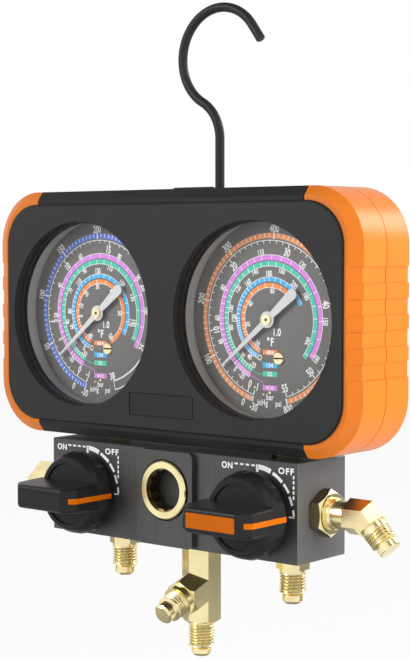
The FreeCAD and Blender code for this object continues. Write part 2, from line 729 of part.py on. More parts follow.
def make_gland_nuts():
    nut = new_body("gland_nut")
    place(nut, SIDE_X, "0", "-valve_drop")
    turned_forward(nut, [
        ("stem_radius + running_clearance", f"{BLOCK_FRONT} - gland_depth"),
        ("gland_radius", f"{BLOCK_FRONT} - gland_depth"),
        ("gland_radius", BLOCK_FRONT),
        ("stem_radius + running_clearance", BLOCK_FRONT),
    ])
    sketch = sketch_on(nut, "XZ_Plane", BLOCK_FRONT)
    hexagon(sketch, "gland_flats")
    circle(sketch, "stem_radius + running_clearance")
    pad(nut, sketch, "gland_head")

    packing = new_body("stem_packing")
    place(packing, SIDE_X, "0", "-valve_drop")
    front = f"{BLOCK_FRONT} - gland_depth - seat_gap"
    turned_forward(packing, [
        ("stem_radius + running_clearance", f"{front} - packing_length"),
        ("ball_radius", f"{front} - packing_length"),
        ("ball_radius", front),
        ("stem_radius + running_clearance", front),
    ])
    keep(mirrored_pair("gland_nuts", nut), mirrored_pair("stem_packings", packing))


def make_valve(name, side):
    """Ball, stem, knob, label, stripe and screw of one quarter-turn valve."""
    x = f"{side}side_pitch / 2"

    sphere = doc.addObject("Part::Sphere", f"{name}_ball_sphere")
    bind(sphere, "Radius", "ball_radius")
    way = doc.addObject("Part::Cylinder", f"{name}_ball_way")
    bind(way, "Radius", "ball_bore")
    bind(way, "Height", "2 * ball_radius")
    way.Placement = Placement(Vector(0, 0, 0), Rotation(Vector(0, 1, 0), 90))
    bind(way, ".Placement.Base.x", "-ball_radius")
    slot = doc.addObject("Part::Box", f"{name}_ball_slot")
    bind(slot, "Length", "2 * ball_radius")
    bind(slot, "Width", "ball_radius")
    bind(slot, "Height", "tang_thickness + 2 * seat_gap")
    bind(slot, ".Placement.Base.x", "-ball_radius")
    bind(slot, ".Placement.Base.y", "stem_shoulder + tang_length + seat_gap - port_back - ball_radius")
    bind(slot, ".Placement.Base.z", "-tang_thickness / 2 - seat_gap")
    cutters = doc.addObject("Part::MultiFuse", f"{name}_ball_cutters")
    cutters.Shapes = [way, slot]
    ball = doc.addObject("Part::Cut", f"{name}_valve_ball")
    ball.Label = f"{name}_valve_ball"
    ball.Base = sphere
    ball.Tool = cutters
    place(ball, x, "-port_back", "-valve_drop")

    stem = new_body(f"{name}_valve_stem")
    place(stem, x, "0", "-valve_drop")
    turned_forward(stem, [
        ("0", "-stem_shoulder"),
        ("stem_radius", "-stem_shoulder"),
        ("stem_radius", "stem_front - 0.4"),
        ("stem_radius - 0.4", "stem_front"),
        ("screw_shank_radius + running_clearance", "stem_front"),
        ("screw_shank_radius + running_clearance", "screw_tip - 1"),
        ("0", "screw_tip - 1"),
    ])
    sketch = sketch_on(stem, "XZ_Plane", "-stem_shoulder")
    rounded_box(sketch, "-stem_radius + 0.3", "stem_radius - 0.3", "-tang_thickness / 2",
                "tang_thickness / 2", "0", "none")
    pad(stem, sketch, "tang_length", reverse=True)

    keep(ball, stem, make_knob(name, x), *make_knob_trim(name, x))


def wing_side(inset):
    """The right side of the wing from the corner slope back, moved in by an inset."""
    slope_x = "(wing_front_half + wing_nose_half) / 2"
    slope_forward = "wing_front - wing_corner_depth / 2"
    return [
        (f"{slope_x} - ({inset}) * 0.7", f"-({slope_forward} - ({inset}) * 0.7)"),
        (f"wing_front_half - ({inset})", f"-(wing_front - wing_corner_depth - ({inset}) * 0.4)"),
        (f"wing_root_half - ({inset})", "-(knob_back + 0.3)"),
    ]


def make_knob(name, x):
    knob = new_body(f"{name}_knob")
    place(knob, x, "0", "-valve_drop")
    turned_forward(knob, [
        ("stem_radius + running_clearance", "knob_back"),
        ("knob_radius - 0.6", "knob_back"),
        ("knob_radius", "knob_back + 0.6"),
        ("knob_radius", "knob_back + knob_shoulder"),
        ("(knob_radius + knob_face_radius) / 2 + 0.4", "(knob_back + knob_shoulder + knob_face) / 2"),
        ("knob_face_radius + 0.4", "knob_face - 0.5"),
        ("knob_face_radius - 0.2", "knob_face"),
        ("knob_face_radius - knob_rim_width", "knob_face"),
        ("knob_face_radius - knob_rim_width", "knob_face - knob_panel_depth"),
        ("screw_shank_radius + 0.2", "knob_face - knob_panel_depth"),
        ("screw_shank_radius + 0.2", "stem_front + seat_gap"),
        ("stem_radius + running_clearance", "stem_front + seat_gap"),
    ])

    sketch = sketch_on(knob, "XZ_Plane", "knob_back")
    flute_ring = "knob_radius + flute_radius - flute_depth"
    for start in (30, 210):
        for step in range(7):
            angle = start + 20 * step
            circle(sketch, "flute_radius", f"({flute_ring}) * cos({angle})",
                   f"({flute_ring}) * sin({angle})")
    pocket(knob, sketch, "knob_face - knob_back - 1.2", reverse=True)

    sketch = sketch_on(knob, "YZ_Plane")
    root = "knob_face - knob_panel_depth"
    outline(sketch, [
        (f"-({root})", "-wing_root_thick / 2"),
        ("-wing_front", "-wing_front_thick / 2"),
        ("-wing_front", "wing_front_thick / 2"),
        (f"-({root})", "wing_root_thick / 2"),
    ])
    pad(knob, sketch, "2 * wing_root_half", middle=True)
    for mirror in ("", "-"):
        sketch = sketch_on(knob, "XY_Plane")
        beyond = "knob_radius + 3"
        outline(sketch, [
            (f"{mirror}wing_nose_half", "-wing_front"),
            (f"{mirror}wing_front_half", "-(wing_front - wing_corner_depth)"),
            (f"{mirror}wing_root_half", "-knob_face"),
            (f"{mirror}({beyond})", "-knob_face"),
            (f"{mirror}({beyond})", "-(wing_front + 2)"),
            (f"{mirror}wing_nose_half", "-(wing_front + 2)"),
        ])
        pocket(knob, sketch, "2 * wing_root_thick", middle=True)
    face = number("knob_face")
    dress(knob, "Fillet", "wing_edge", lambda edge, at: -at.y > face + 1 and straight(edge))

    sketch = sketch_on(knob, "XZ_Plane", "wing_front")
    rounded_box(sketch, "-label_width / 2 - seat_gap", "label_width / 2 + seat_gap",
                "-label_height / 2 - seat_gap", "label_height / 2 + seat_gap", "0.6")
    pocket(knob, sketch, "label_depth")
    sketch = sketch_on(knob, "XZ_Plane", "wing_front")
    circle(sketch, "screw_head_radius + 2 * seat_gap")
    pocket(knob, sketch, "wing_front - screw_seat")
    sketch = sketch_on(knob, "XZ_Plane", "wing_front")
    circle(sketch, "screw_shank_radius + 0.2")
    pocket(knob, sketch, "wing_front - stem_front")

    sketch = sketch_on(knob, "XY_Plane")
    outline(sketch, wing_side("stripe_depth") + [
        ("knob_radius + 2", "-(knob_back + 0.3)"),
        ("knob_radius + 2", "-(wing_front - wing_corner_depth / 2 + 2)"),
        ("(wing_front_half + wing_nose_half) / 2 + 2", "-(wing_front - wing_corner_depth / 2 + 2)"),
    ])
    pocket(knob, sketch, "stripe_height", middle=True)
    return knob


def make_knob_trim(name, x):
    label = new_body(f"{name}_knob_label")
    place(label, x, "0", "-valve_drop")
    sketch = sketch_on(label, "XZ_Plane", "wing_front - label_depth")
    rounded_box(sketch, "-label_width / 2", "label_width / 2", "-label_height / 2",
                "label_height / 2", "0.5")
    pad(label, sketch, "label_depth + 0.05")

    stripe = new_body(f"{name}_knob_stripe")
    place(stripe, x, "0", "-valve_drop")
    sketch = sketch_on(stripe, "XY_Plane")
    outline(sketch, wing_side("stripe_depth") + wing_side("-0.08")[::-1])
    pad(stripe, sketch, "stripe_height", middle=True)

    screw = new_body(f"{name}_knob_screw")
    place(screw, x, "0", "-valve_drop")
    turned_forward(screw, [
        ("0", "screw_tip"),
        ("screw_shank_radius", "screw_tip"),
        ("screw_shank_radius", "screw_seat"),
        ("screw_head_radius", "screw_seat"),
        ("screw_head_radius", "screw_seat + screw_head_height"),
        ("0", "screw_seat + screw_head_height"),
    ])
    sketch = sketch_on(screw, "XZ_Plane", "screw_seat + screw_head_height")
    hexagon(sketch, "2.5")
    pocket(screw, sketch, "screw_head_height / 2")
    return label, stripe, screw


# Flare ends shared by ports, tee and elbows

def flare_profile(start, collar, collar_radius, thread, groove, nose, towards="-",
                  radii=("nose_radius", "nose_tip_radius")):
    """(distance, radius) steps of a collar, thread, undercut and blunt nose."""
    here = f"{start} {towards} {collar}"
    end_of_thread = f"{here} {towards} {thread}"
    start_of_nose = f"{end_of_thread} {towards} {groove}"
    tip = f"{start_of_nose} {towards} {nose}"
    back = "+" if towards == "-" else "-"
    lead = "(thread_radius - groove_radius) / 2"
    nose_side, nose_tip = radii
    return [
        (start, "0"),
        (start, collar_radius),
        (here, collar_radius),
        (here, "thread_radius"),
        (f"{end_of_thread} {back} {lead}", "thread_radius"),
        (end_of_thread, "groove_radius"),
        (start_of_nose, "groove_radius - 0.3"),
        (start_of_nose, nose_side),
        (f"{tip} {back} ({nose_side} - {nose_tip})", nose_side),
        (tip, nose_tip),
        (tip, "0"),
    ]


def make_port_fitting(name, side):
    body = new_body(f"{name}_port_fitting")
    place(body, f"{side}side_pitch / 2", "-port_back", f"-{BLOCK_TOP}")
    turned_up(body, [
        ("0", "0"),
        ("port_shank_radius", "0"),
        ("port_shank_radius", "port_shank_length - 0.5"),
        ("port_shank_radius - 0.5", "port_shank_length"),
        ("0", "port_shank_length"),
    ])
    sketch = sketch_on(body, "XY_Plane")
    hexagon(sketch, "port_flats")
    pad(body, sketch, "port_hex_length", reverse=True)
    steps = flare_profile("-port_hex_length", "port_collar_length", "port_collar_radius",
                          "port_thread_length", "port_groove_length", "port_nose_length")
    turned_up(body, [(radius, height) for height, radius in steps])
    drilled = "port_hex_length + port_collar_length + port_thread_length"
    reach = f"port_shank_length + {drilled} + port_groove_length + port_nose_length - port_wall"
    sketch = sketch_on(body, "XY_Plane", "port_shank_length")
    circle(sketch, "port_passage")
    pocket(body, sketch, reach)
    keep(body)


# Centre tee: hexagon bar down to one flare end, branch forward and down to the other

def make_centre_tee():
    body = new_body("centre_tee")
    place(body, "0", "-tee_back", f"-{BLOCK_TOP}")
    turned_up(body, [
        ("0", "0"),
        ("port_shank_radius", "0"),
        ("port_shank_radius", "port_shank_length - 0.5"),
        ("port_shank_radius - 0.5", "port_shank_length"),
        ("0", "port_shank_length"),
    ])
    sketch = sketch_on(body, "XY_Plane")
    hexagon(sketch, "tee_flats")
    pad(body, sketch, "tee_hex_length", reverse=True)
    dress_hexagon_end(body, "XZ_Plane", "-tee_hex_length", "tee_flats", "tee_edge")

    sketch = sketch_on(body, "XZ_Plane")
    sketch.AttachmentOffset = Placement(Vector(0, 0, 0), Rotation(Vector(1, 0, 0), number("branch_tilt")))
    bind(sketch, ".AttachmentOffset.Base.y", "-branch_drop")
    bind(sketch, ".AttachmentOffset.Rotation.Angle", "branch_tilt")
    hexagon(sketch, "tee_flats")
    pad(body, sketch, "branch_hex_length")
    sketch = branch_plane(body)
    outline(sketch, [
        ("branch_hex_length + 1", "tee_flats / 2 - 0.3"),
        (f"branch_hex_length - ({TEE_HALF_CORNER} - tee_flats / 2 + 0.3) * 0.7", TEE_HALF_CORNER),
        ("branch_hex_length + 1", TEE_HALF_CORNER),
    ])
    groove(body, sketch, "H_Axis")
    sketch = branch_plane(body)
    outline(sketch, flare_profile("branch_hex_length", "branch_collar_length", "branch_collar_radius",
                                  "branch_thread_length", "branch_groove_length",
                                  "branch_nose_length", "+", ("nose_radius", "branch_tip_radius")))
    revolve(body, sketch, "H_Axis")

    steps = flare_profile("-tee_hex_length", "tee_collar_length", "tee_collar_radius",
                          "tee_thread_length", "port_groove_length", "tee_nose_length")
    turned_up(body, [(radius, height) for height, radius in steps])
    reach = ("port_shank_length + tee_hex_length + tee_collar_length + tee_thread_length"
             " + port_groove_length + tee_nose_length - port_wall")
    sketch = sketch_on(body, "XY_Plane", "port_shank_length")
    circle(sketch, "port_passage")
    pocket(body, sketch, reach)
    sketch = branch_plane(body)
    outline(sketch, [
        ("0", "0"),
        ("branch_hex_length + branch_collar_length + branch_thread_length", "0"),
        ("branch_hex_length + branch_collar_length + branch_thread_length", "port_passage"),
        ("0", "port_passage"),
    ])
    groove(body, sketch, "H_Axis")
    keep(body)


def branch_plane(body):
    """A sketch in the plane of the branch, its x axis along the branch."""
    sketch = sketch_on(body, "YZ_Plane")
    turn = number("180 + branch_tilt")
    sketch.AttachmentOffset = Placement(Vector(0, 0, 0), Rotation(Vector(0, 0, 1), turn))
    bind(sketch, ".AttachmentOffset.Base.y", "-branch_drop")
    bind(sketch, ".AttachmentOffset.Rotation.Angle", "180 + branch_tilt")
    return sketch


def groove(body, sketch, axis):
    """Cut a turned profile, and make sure that it cuts."""
    doc.recompute()
    before = body.Shape.Volume
    feature = body.newObject("PartDesign::Groove", f"{body.Name}_groove")
    feature.Profile = sketch
    feature.ReferenceAxis = (sketch, [axis])
    bind(feature, "Angle", "360")
    doc.recompute()
    if not body.Shape.Volume < before - 1e-6:
        raise RuntimeError(f"a groove of {body.Label} cuts nothing")
    return feature


def dress_hexagon_end(body, role, height, flats, edge):
    """Turn the corners off the lower end of an upright hexagon."""
    corner = f"{flats} / sqrt(3)"
    inner = f"{flats} / 2 - 0.3"
    sketch = sketch_on(body, role)
    outline(sketch, [
        (inner, height),
        (corner, f"{height} + {edge}"),
        (f"{corner} + 1", f"{height} + {edge}"),
        (f"{corner} + 1", f"{height} - 1"),
        (inner, f"{height} - 1"),
    ])
    groove(body, sketch, "V_Axis")


# Side elbows: hexagon nut on the block, elbow turned 45 degrees down

def make_elbow_nuts():
    nut = new_body("elbow_nut")
    place(nut, BLOCK_SIDE, "0", "-elbow_drop")
    hole = "elbow_shank_radius + running_clearance"
    sketch = sketch_on(nut, "YZ_Plane")
    hexagon(sketch, "nut_flats")
    circle(sketch, hole)
    pad(nut, sketch, "nut_thickness")
    corner = "nut_flats / sqrt(3)"
    for end, inward in (("0", "nut_edge"), ("nut_thickness", "nut_thickness - nut_edge")):
        outward = f"{end} + ({end} - ({inward}))"
        sketch = sketch_on(nut, "XZ_Plane")
        outline(sketch, [
            (end, "nut_flats / 2 - 0.3"),
            (inward, corner),
            (inward, f"{corner} + 1"),
            (outward, f"{corner} + 1"),
            (outward, "nut_flats / 2 - 0.3"),
        ])
        groove(nut, sketch, "H_Axis")
    sketch = sketch_on(nut, "YZ_Plane", "nut_thickness")
    circle(sketch, "nut_face_radius")
    circle(sketch, hole)
    pad(nut, sketch, "nut_face_rise")
    keep(mirrored_pair("elbow_nuts", nut))


def make_elbow(name, mirror):
    """Blank port for parking a hose: shank, neck, bent hexagon and flare end."""
    body = new_body(f"{name}_hose_elbow")
    sketch = sketch_on(body, "XZ_Plane")
    nut_end = "nut_thickness + nut_face_rise"
    outline(sketch, [
        ("-elbow_shank_length", "0"),
        ("-elbow_shank_length", "elbow_shank_radius"),
        (nut_end, "elbow_shank_radius"),
        (nut_end, "elbow_ring_radius"),
        (f"{nut_end} + elbow_ring_length", "elbow_ring_radius"),
        (f"{nut_end} + elbow_ring_length + 0.9", "elbow_neck_radius"),
        ("elbow_neck_end", "elbow_neck_radius"),
        ("elbow_neck_end", "0"),
    ])
    revolve(body, sketch, "H_Axis")

    path = body.newObject("Sketcher::SketchObject", f"{name}_elbow_path")
    path.AttachmentSupport = [(origin_plane(body, "XZ_Plane"), "")]
    path.MapMode = "FlatFace"
    corners = [
        ("elbow_neck_end", "0"),
        ("elbow_bend", "0"),
        ("elbow_bend + elbow_leg_length * cos(elbow_angle)", "-elbow_leg_length * sin(elbow_angle)"),
    ]
    spots = [Vector(number(x_at), number(z_at), 0) for x_at, z_at in corners]
    legs = [path.addGeometry(Part.LineSegment(spots[i], spots[i + 1]), False) for i in range(2)]
    path.addConstraint(Sketcher.Constraint("Coincident", legs[0], 2, legs[1], 1))
    for line, end, (x_at, z_at) in ((0, 1, corners[0]), (0, 2, corners[1]), (1, 2, corners[2])):
        datum(path, "DistanceX", (-1, 1, line, end), x_at)
        datum(path, "DistanceY", (-1, 1, line, end), z_at)
    section = sketch_on(body, "YZ_Plane", "elbow_neck_end")
    hexagon(section, "elbow_flats")
    doc.recompute()
    bar = body.newObject("PartDesign::AdditivePipe", f"{name}_elbow_bar")
    bar.Profile = section
    bar.Spine = (path, ["Edge1", "Edge2"])
    bar.Transition = "Right corner"

    sketch = sketch_on(body, "XZ_Plane")
    sketch.AttachmentOffset = Placement(Vector(0, 0, 0), Rotation(Vector(0, 0, 1), -number("elbow_angle")))
    bind(sketch, ".AttachmentOffset.Base.x", "elbow_bend")
    bind(sketch, ".AttachmentOffset.Rotation.Angle", "-elbow_angle")
    outline(sketch, flare_profile("elbow_leg_length", "elbow_collar_length", "elbow_collar_radius",
                                  "elbow_thread_length", "elbow_groove_length",
                                  "elbow_nose_length", "+", ("elbow_nose_radius", "elbow_tip_radius")))
    revolve(body, sketch, "H_Axis")
    if not mirror:
        place(body, BLOCK_SIDE, "0", "-elbow_drop")
        keep(body)
        return
    body.Placement = Placement(Vector(0, 0, 0), Rotation(Vector(0, 0, 1), 180))
    place(body, f"-{BLOCK_SIDE}", "0", "-elbow_drop")
    keep(body)


# Housing: two shells with side bumpers over them

def half_box(sketch, side, inner_x, half_width, half_height, radius):
    """The outline of one side of the housing, from a cut plane outwards."""
    if side == "-":
        rounded_box(sketch, f"-({half_width})", f"-({inner_x})", f"-({half_height})",
                    half_height, radius, "left")
    else:
        rounded_box(sketch, inner_x, half_width, f"-({half_height})", half_height, radius, "right")


def full_box(sketch, half_width, half_height, radius):
    rounded_box(sketch, f"-({half_width})", half_width, f"-({half_height})", half_height, radius)


def loft(body, first, second):
    feature = body.newObject("PartDesign::AdditiveLoft", f"{body.Name}_loft")
    feature.Profile = first
    feature.Sections = [second]
    feature.Ruled = True
    return feature


PLATE_POCKET = ("plate_half_width + plate_clearance", "plate_half_height + plate_clearance",
                "plate_corner + plate_clearance")
UNDER_BUMPER = ("housing_half_width - bumper_thickness", "housing_half_height - bumper_thickness",
                "housing_corner - bumper_thickness")
CAVITY = ("housing_half_width - bumper_thickness - shell_wall",
          "housing_half_height - bumper_thickness - shell_wall",
          "housing_corner - bumper_thickness - shell_wall")


def make_bumper(end, side_name, side):
    """One quarter of the coloured edge: front or rear, left or right."""
    body = new_body(f"{end}_{side_name}_bumper")
    place(body, up="housing_rise")
    cut_plane = "bar_half_width + bar_gap"
    front = end == "front"
    if front:
        wall_outer, wall_inner, face = "chamfer_front", "seam_front + seam_gap / 2", "rim_front"
        inset_x, inset_z = "rim_inset_side", "rim_inset_top"
    else:
        wall_outer, wall_inner, face = "-chamfer_back", "seam_front - seam_gap / 2", "-back_face"
        inset_x, inset_z = "rim_inset_rear", "rim_inset_rear"
    thickness = f"({wall_outer}) - ({wall_inner})" if front else f"({wall_inner}) - ({wall_outer})"
    sketch = sketch_on(body, "XZ_Plane", wall_inner)
    half_box(sketch, side, cut_plane, "housing_half_width", "housing_half_height", "housing_corner")
    pad(body, sketch, thickness, reverse=not front)
    lower = sketch_on(body, "XZ_Plane", wall_outer)
    half_box(lower, side, cut_plane, "housing_half_width", "housing_half_height", "housing_corner")
    upper = sketch_on(body, "XZ_Plane", face)
    half_box(upper, side, cut_plane, f"housing_half_width - {inset_x}",
             f"housing_half_height - {inset_z}", f"housing_corner - {inset_x}")
    loft(body, lower, upper)

    sketch = sketch_on(body, "XZ_Plane", wall_inner)
    half_box(sketch, side, "bar_half_width - 2", *UNDER_BUMPER)
    flange = f"({face}) - ({wall_inner})" if front else f"({wall_inner}) - ({face})"
    pocket(body, sketch, f"{flange} - flange_thickness", reverse=front)
    sketch = sketch_on(body, "XZ_Plane", wall_inner)
    half_box(sketch, side, "bar_half_width - 2", *PLATE_POCKET)
    pocket(body, sketch, f"{flange} + 1", reverse=front)

    sketch = sketch_on(body, "XZ_Plane", wall_inner)
    floor = "housing_half_width - band_depth"
    for index in (-1.5, -0.5, 0.5, 1.5):
        middle = f"band_pitch * {index}"
        left, right = (f"-({floor}) - 9", f"-({floor})") if side == "-" else (floor, f"{floor} + 9")
        rounded_box(sketch, left, right, f"{middle} - band_height / 2",
                    f"{middle} + band_height / 2", "0", "none")
    pocket(body, sketch, thickness, reverse=front)
    cut_chamfer_bands(body, side, wall_outer, face, inset_x, front)
    keep(body)


def cut_chamfer_bands(body, side, wall_outer, face, inset_x, front):
    """Carry the grip bands over the chamfer as shallow slots that follow its slope."""
    sketch = sketch_on(body, "XY_Plane")
    sign = "-" if side == "-" else ""
    depth = "band_depth"
    over = "4"
    outline(sketch, [
        (f"{sign}(housing_half_width - {depth})", f"-({wall_outer})"),
        (f"{sign}(housing_half_width - {inset_x} - {depth})", f"-({face})"),
        (f"{sign}(housing_half_width - {inset_x} - {depth})", f"-({face}) {'-' if front else '+'} {over}"),
        (f"{sign}(housing_half_width + {over})", f"-({face}) {'-' if front else '+'} {over}"),
        (f"{sign}(housing_half_width + {over})", f"-({wall_outer})"),
    ])
    tall = pocket(body, sketch, "band_height", middle=True)
    pattern = body.newObject("PartDesign::LinearPattern", f"{body.Name}_bands")
    pattern.Originals = [tall]
    pattern.Direction = (sketch, ["N_Axis"])
    bind(pattern, "Length", "3 * band_pitch")
    pattern.Occurrences = 4
    body.Tip = pattern
    bind(sketch, ".AttachmentOffset.Base.z", "-1.5 * band_pitch")
    doc.recompute()


def make_front_shell():
    body = new_body("front_shell")
    place(body, up="housing_rise")
    sketch = sketch_on(body, "YZ_Plane")
    outline(sketch, [
        ("-seam_front", "housing_half_height"),
        ("-chamfer_front", "housing_half_height"),
        ("-rim_front", "housing_half_height - rim_inset_top"),
        ("-rim_front", "-(housing_half_height - rim_inset_top)"),
        ("-chamfer_front", "-housing_half_height"),
        ("-seam_front", "-housing_half_height"),
    ])
    pad(body, sketch, "2 * bar_half_width", middle=True)
    sketch = sketch_on(body, "XZ_Plane", "seam_front")
    full_box(sketch, *UNDER_BUMPER)
    pad(body, sketch, "rim_front - flange_thickness - seam_front")
    sketch = sketch_on(body, "XZ_Plane", "seam_front")
    full_box(sketch, *PLATE_POCKET)
    pad(body, sketch, f"{PLATE_BACK} - seam_front")
    sketch = sketch_on(body, "XZ_Plane", "rim_front")
    full_box(sketch, *PLATE_POCKET)
    pocket(body, sketch, f"rim_front - ({PLATE_BACK})")
    sketch = sketch_on(body, "XZ_Plane", "seam_front")
    full_box(sketch, *CAVITY)
    pocket(body, sketch, f"{PLATE_BACK} - shell_wall - seam_front", reverse=True)
    sketch = sketch_on(body, "XZ_Plane", "rim_front")
    for side in ("-", ""):
        circle(sketch, "bezel_radius + seat_gap", f"{side}side_pitch / 2", "0")
    pocket(body, sketch, "2 * plate_thickness")
    sketch = sketch_on(body, "XZ_Plane", "seam_front")
    for x, z in screw_places():
        circle(sketch, "boss_radius", x, z)
        circle(sketch, "shell_screw_shank + running_clearance", x, z)
    pad(body, sketch, f"{PLATE_BACK} - shell_wall - seam_front")
    cut_stem_holes(body)
    keep(body)


def screw_places():
    places = []
    for x in ("-boss_pitch_x / 2", "boss_pitch_x / 2"):
        for z in ("-boss_pitch_z / 2", "boss_pitch_z / 2"):
            places.append((x, z))
    places.append(("0", "-boss_pitch_z / 2"))
    places.append(("0", "boss_pitch_z / 2"))
    return places


def cut_stem_holes(body):
    """Holes in the floor of a shell for the two gauge stems."""
    sketch = sketch_on(body, "XY_Plane", "-housing_half_height")
    for side in ("-", ""):
        circle(sketch, "gauge_stem_flats / sqrt(3) + 0.3", f"{side}side_pitch / 2", "stem_back")
    pocket(body, sketch, "bumper_thickness + shell_wall + 0.5", reverse=True)


def make_rear_shell():
    body = new_body("rear_shell")
    place(body, up="housing_rise")
    sketch = sketch_on(body, "YZ_Plane")
    outline(sketch, [
        ("-seam_front", "-housing_half_height"),
        ("chamfer_back", "-housing_half_height"),
        ("back_face", "-(housing_half_height - rim_inset_rear)"),
        ("back_face", "housing_half_height - rim_inset_rear"),
        ("chamfer_back", "housing_half_height"),
        ("-seam_front", "housing_half_height"),
    ])
    pad(body, sketch, "2 * bar_half_width", middle=True)
    sketch = sketch_on(body, "XZ_Plane", "seam_front")
    full_box(sketch, *UNDER_BUMPER)
    pad(body, sketch, "seam_front + back_face - flange_thickness", reverse=True)
    sketch = sketch_on(body, "XZ_Plane", "seam_front")
    full_box(sketch, *PLATE_POCKET)
    pad(body, sketch, "seam_front + back_face", reverse=True)
    sketch = sketch_on(body, "XZ_Plane", "seam_front")
    full_box(sketch, *CAVITY)
    pocket(body, sketch, "seam_front + back_face - shell_wall")

    inside = "-(back_face - shell_wall)"
    sketch = sketch_on(body, "XZ_Plane", inside)
    for x, z in screw_places():
        circle(sketch, "boss_radius", x, z)
    pad(body, sketch, "back_face - shell_wall + seam_front")
    for side in ("-", ""):
        sketch = sketch_on(body, "XZ_Plane", inside)
        circle(sketch, "case_radius - 4", f"{side}side_pitch / 2", "0")
        circle(sketch, "case_radius - 6", f"{side}side_pitch / 2", "0")
        pad(body, sketch, "back_face - shell_wall - case_back")
    sketch = sketch_on(body, "XZ_Plane", "-back_face")
    for x, z in screw_places():
        circle(sketch, "shell_screw_head + 0.2", x, z)
    pocket(body, sketch, "shell_screw_sink + 2.2", reverse=True)
    sketch = sketch_on(body, "XZ_Plane", "-back_face")
    for x, z in screw_places():
        circle(sketch, "shell_screw_shank + 0.2", x, z)
    pocket(body, sketch, "back_face + seam_front + 1", reverse=True)
    cut_stem_holes(body)

    sketch = sketch_on(body, "YZ_Plane", "-barrel_left - 0.3")
    circle(sketch, "barrel_radius + 0.15", "hook_back", "hinge_rise - housing_rise")
    pocket(body, sketch, "barrel_left + 0.3 + wire_bend", reverse=True)
    sketch = sketch_on(body, "XZ_Plane", "-back_face")
    for x, z in bracket_screw_places():
        circle(sketch, "bracket_screw_shank + running_clearance", x, z)
    pocket(body, sketch, "shell_wall - 0.4", reverse=True)
    keep(body)


def bracket_screw_places():
    """Bracket screws, measured from the centre of the housing."""
    places = []
    for side in ("-", "+"):
        x = f"-({BRACKET_MIDDLE}) {side} bracket_screw_x"
        places.append((x, "hinge_rise - housing_rise - bracket_screw_drop"))
    return places


def make_shell_screws():
    screws = []
    for index, (x, z) in enumerate(screw_places()):
        screw = new_body(f"shell_screw_{index + 1}")
        place(screw, x, "0", f"housing_rise + {z}")
        head_back = "-(back_face - shell_screw_sink)"
        turned_forward(screw, [
            ("0", head_back),
            ("shell_screw_head - 0.4", head_back),
            ("shell_screw_head", f"{head_back} + 0.4"),
            ("shell_screw_head", f"{head_back} + 2"),
            ("shell_screw_shank", f"{head_back} + 2"),
            ("shell_screw_shank", "shell_screw_reach"),
            ("0", "shell_screw_reach"),
        ])
        sketch = sketch_on(screw, "XZ_Plane", head_back)
        rounded_box(sketch, "-2", "2", "-slot_width / 2", "slot_width / 2", "0", "none")
        pocket(screw, sketch, "0.9", reverse=True)
        screws.append(screw)
    group = doc.addObject("Part::Compound", "shell_screws")
    group.Label = "shell_screws"
    group.Links = screws
    keep(group)


# Face plate with two windows and a blank badge

def make_face_plate():
    body = new_body("face_plate")
    place(body, up="housing_rise")
    sketch = sketch_on(body, "XZ_Plane", PLATE_BACK)
    full_box(sketch, "plate_half_width", "plate_half_height", "plate_corner")
    pad(body, sketch, "plate_thickness")
    plate_front = number("plate_front")
    dress(body, "Chamfer", "plate_edge", lambda edge, at: abs(at.y + plate_front) < 0.01)
    sketch = sketch_on(body, "XZ_Plane", "plate_front")
    for side in ("-", ""):
        circle(sketch, "window_radius", f"{side}side_pitch / 2", "0")
    pocket(body, sketch, "plate_thickness")
    sketch = sketch_on(body, "XZ_Plane", "plate_front")
    rounded_box(sketch, "-badge_width / 2", "badge_width / 2", "-badge_drop - badge_height / 2",
                "-badge_drop + badge_height / 2", "badge_corner")
    pocket(body, sketch, "badge_depth")

    badge = new_body("blank_badge")
    place(badge, up="housing_rise")
    sketch = sketch_on(badge, "XZ_Plane", "plate_front - badge_depth")
    rounded_box(sketch, "-badge_width / 2 + 0.35", "badge_width / 2 - 0.35",
                "-badge_drop - badge_height / 2 + 0.35", "-badge_drop + badge_height / 2 - 0.35",
                "badge_corner - 0.35")
    pad(badge, sketch, "badge_depth - 0.15")
    keep(body, badge)


# Gauges

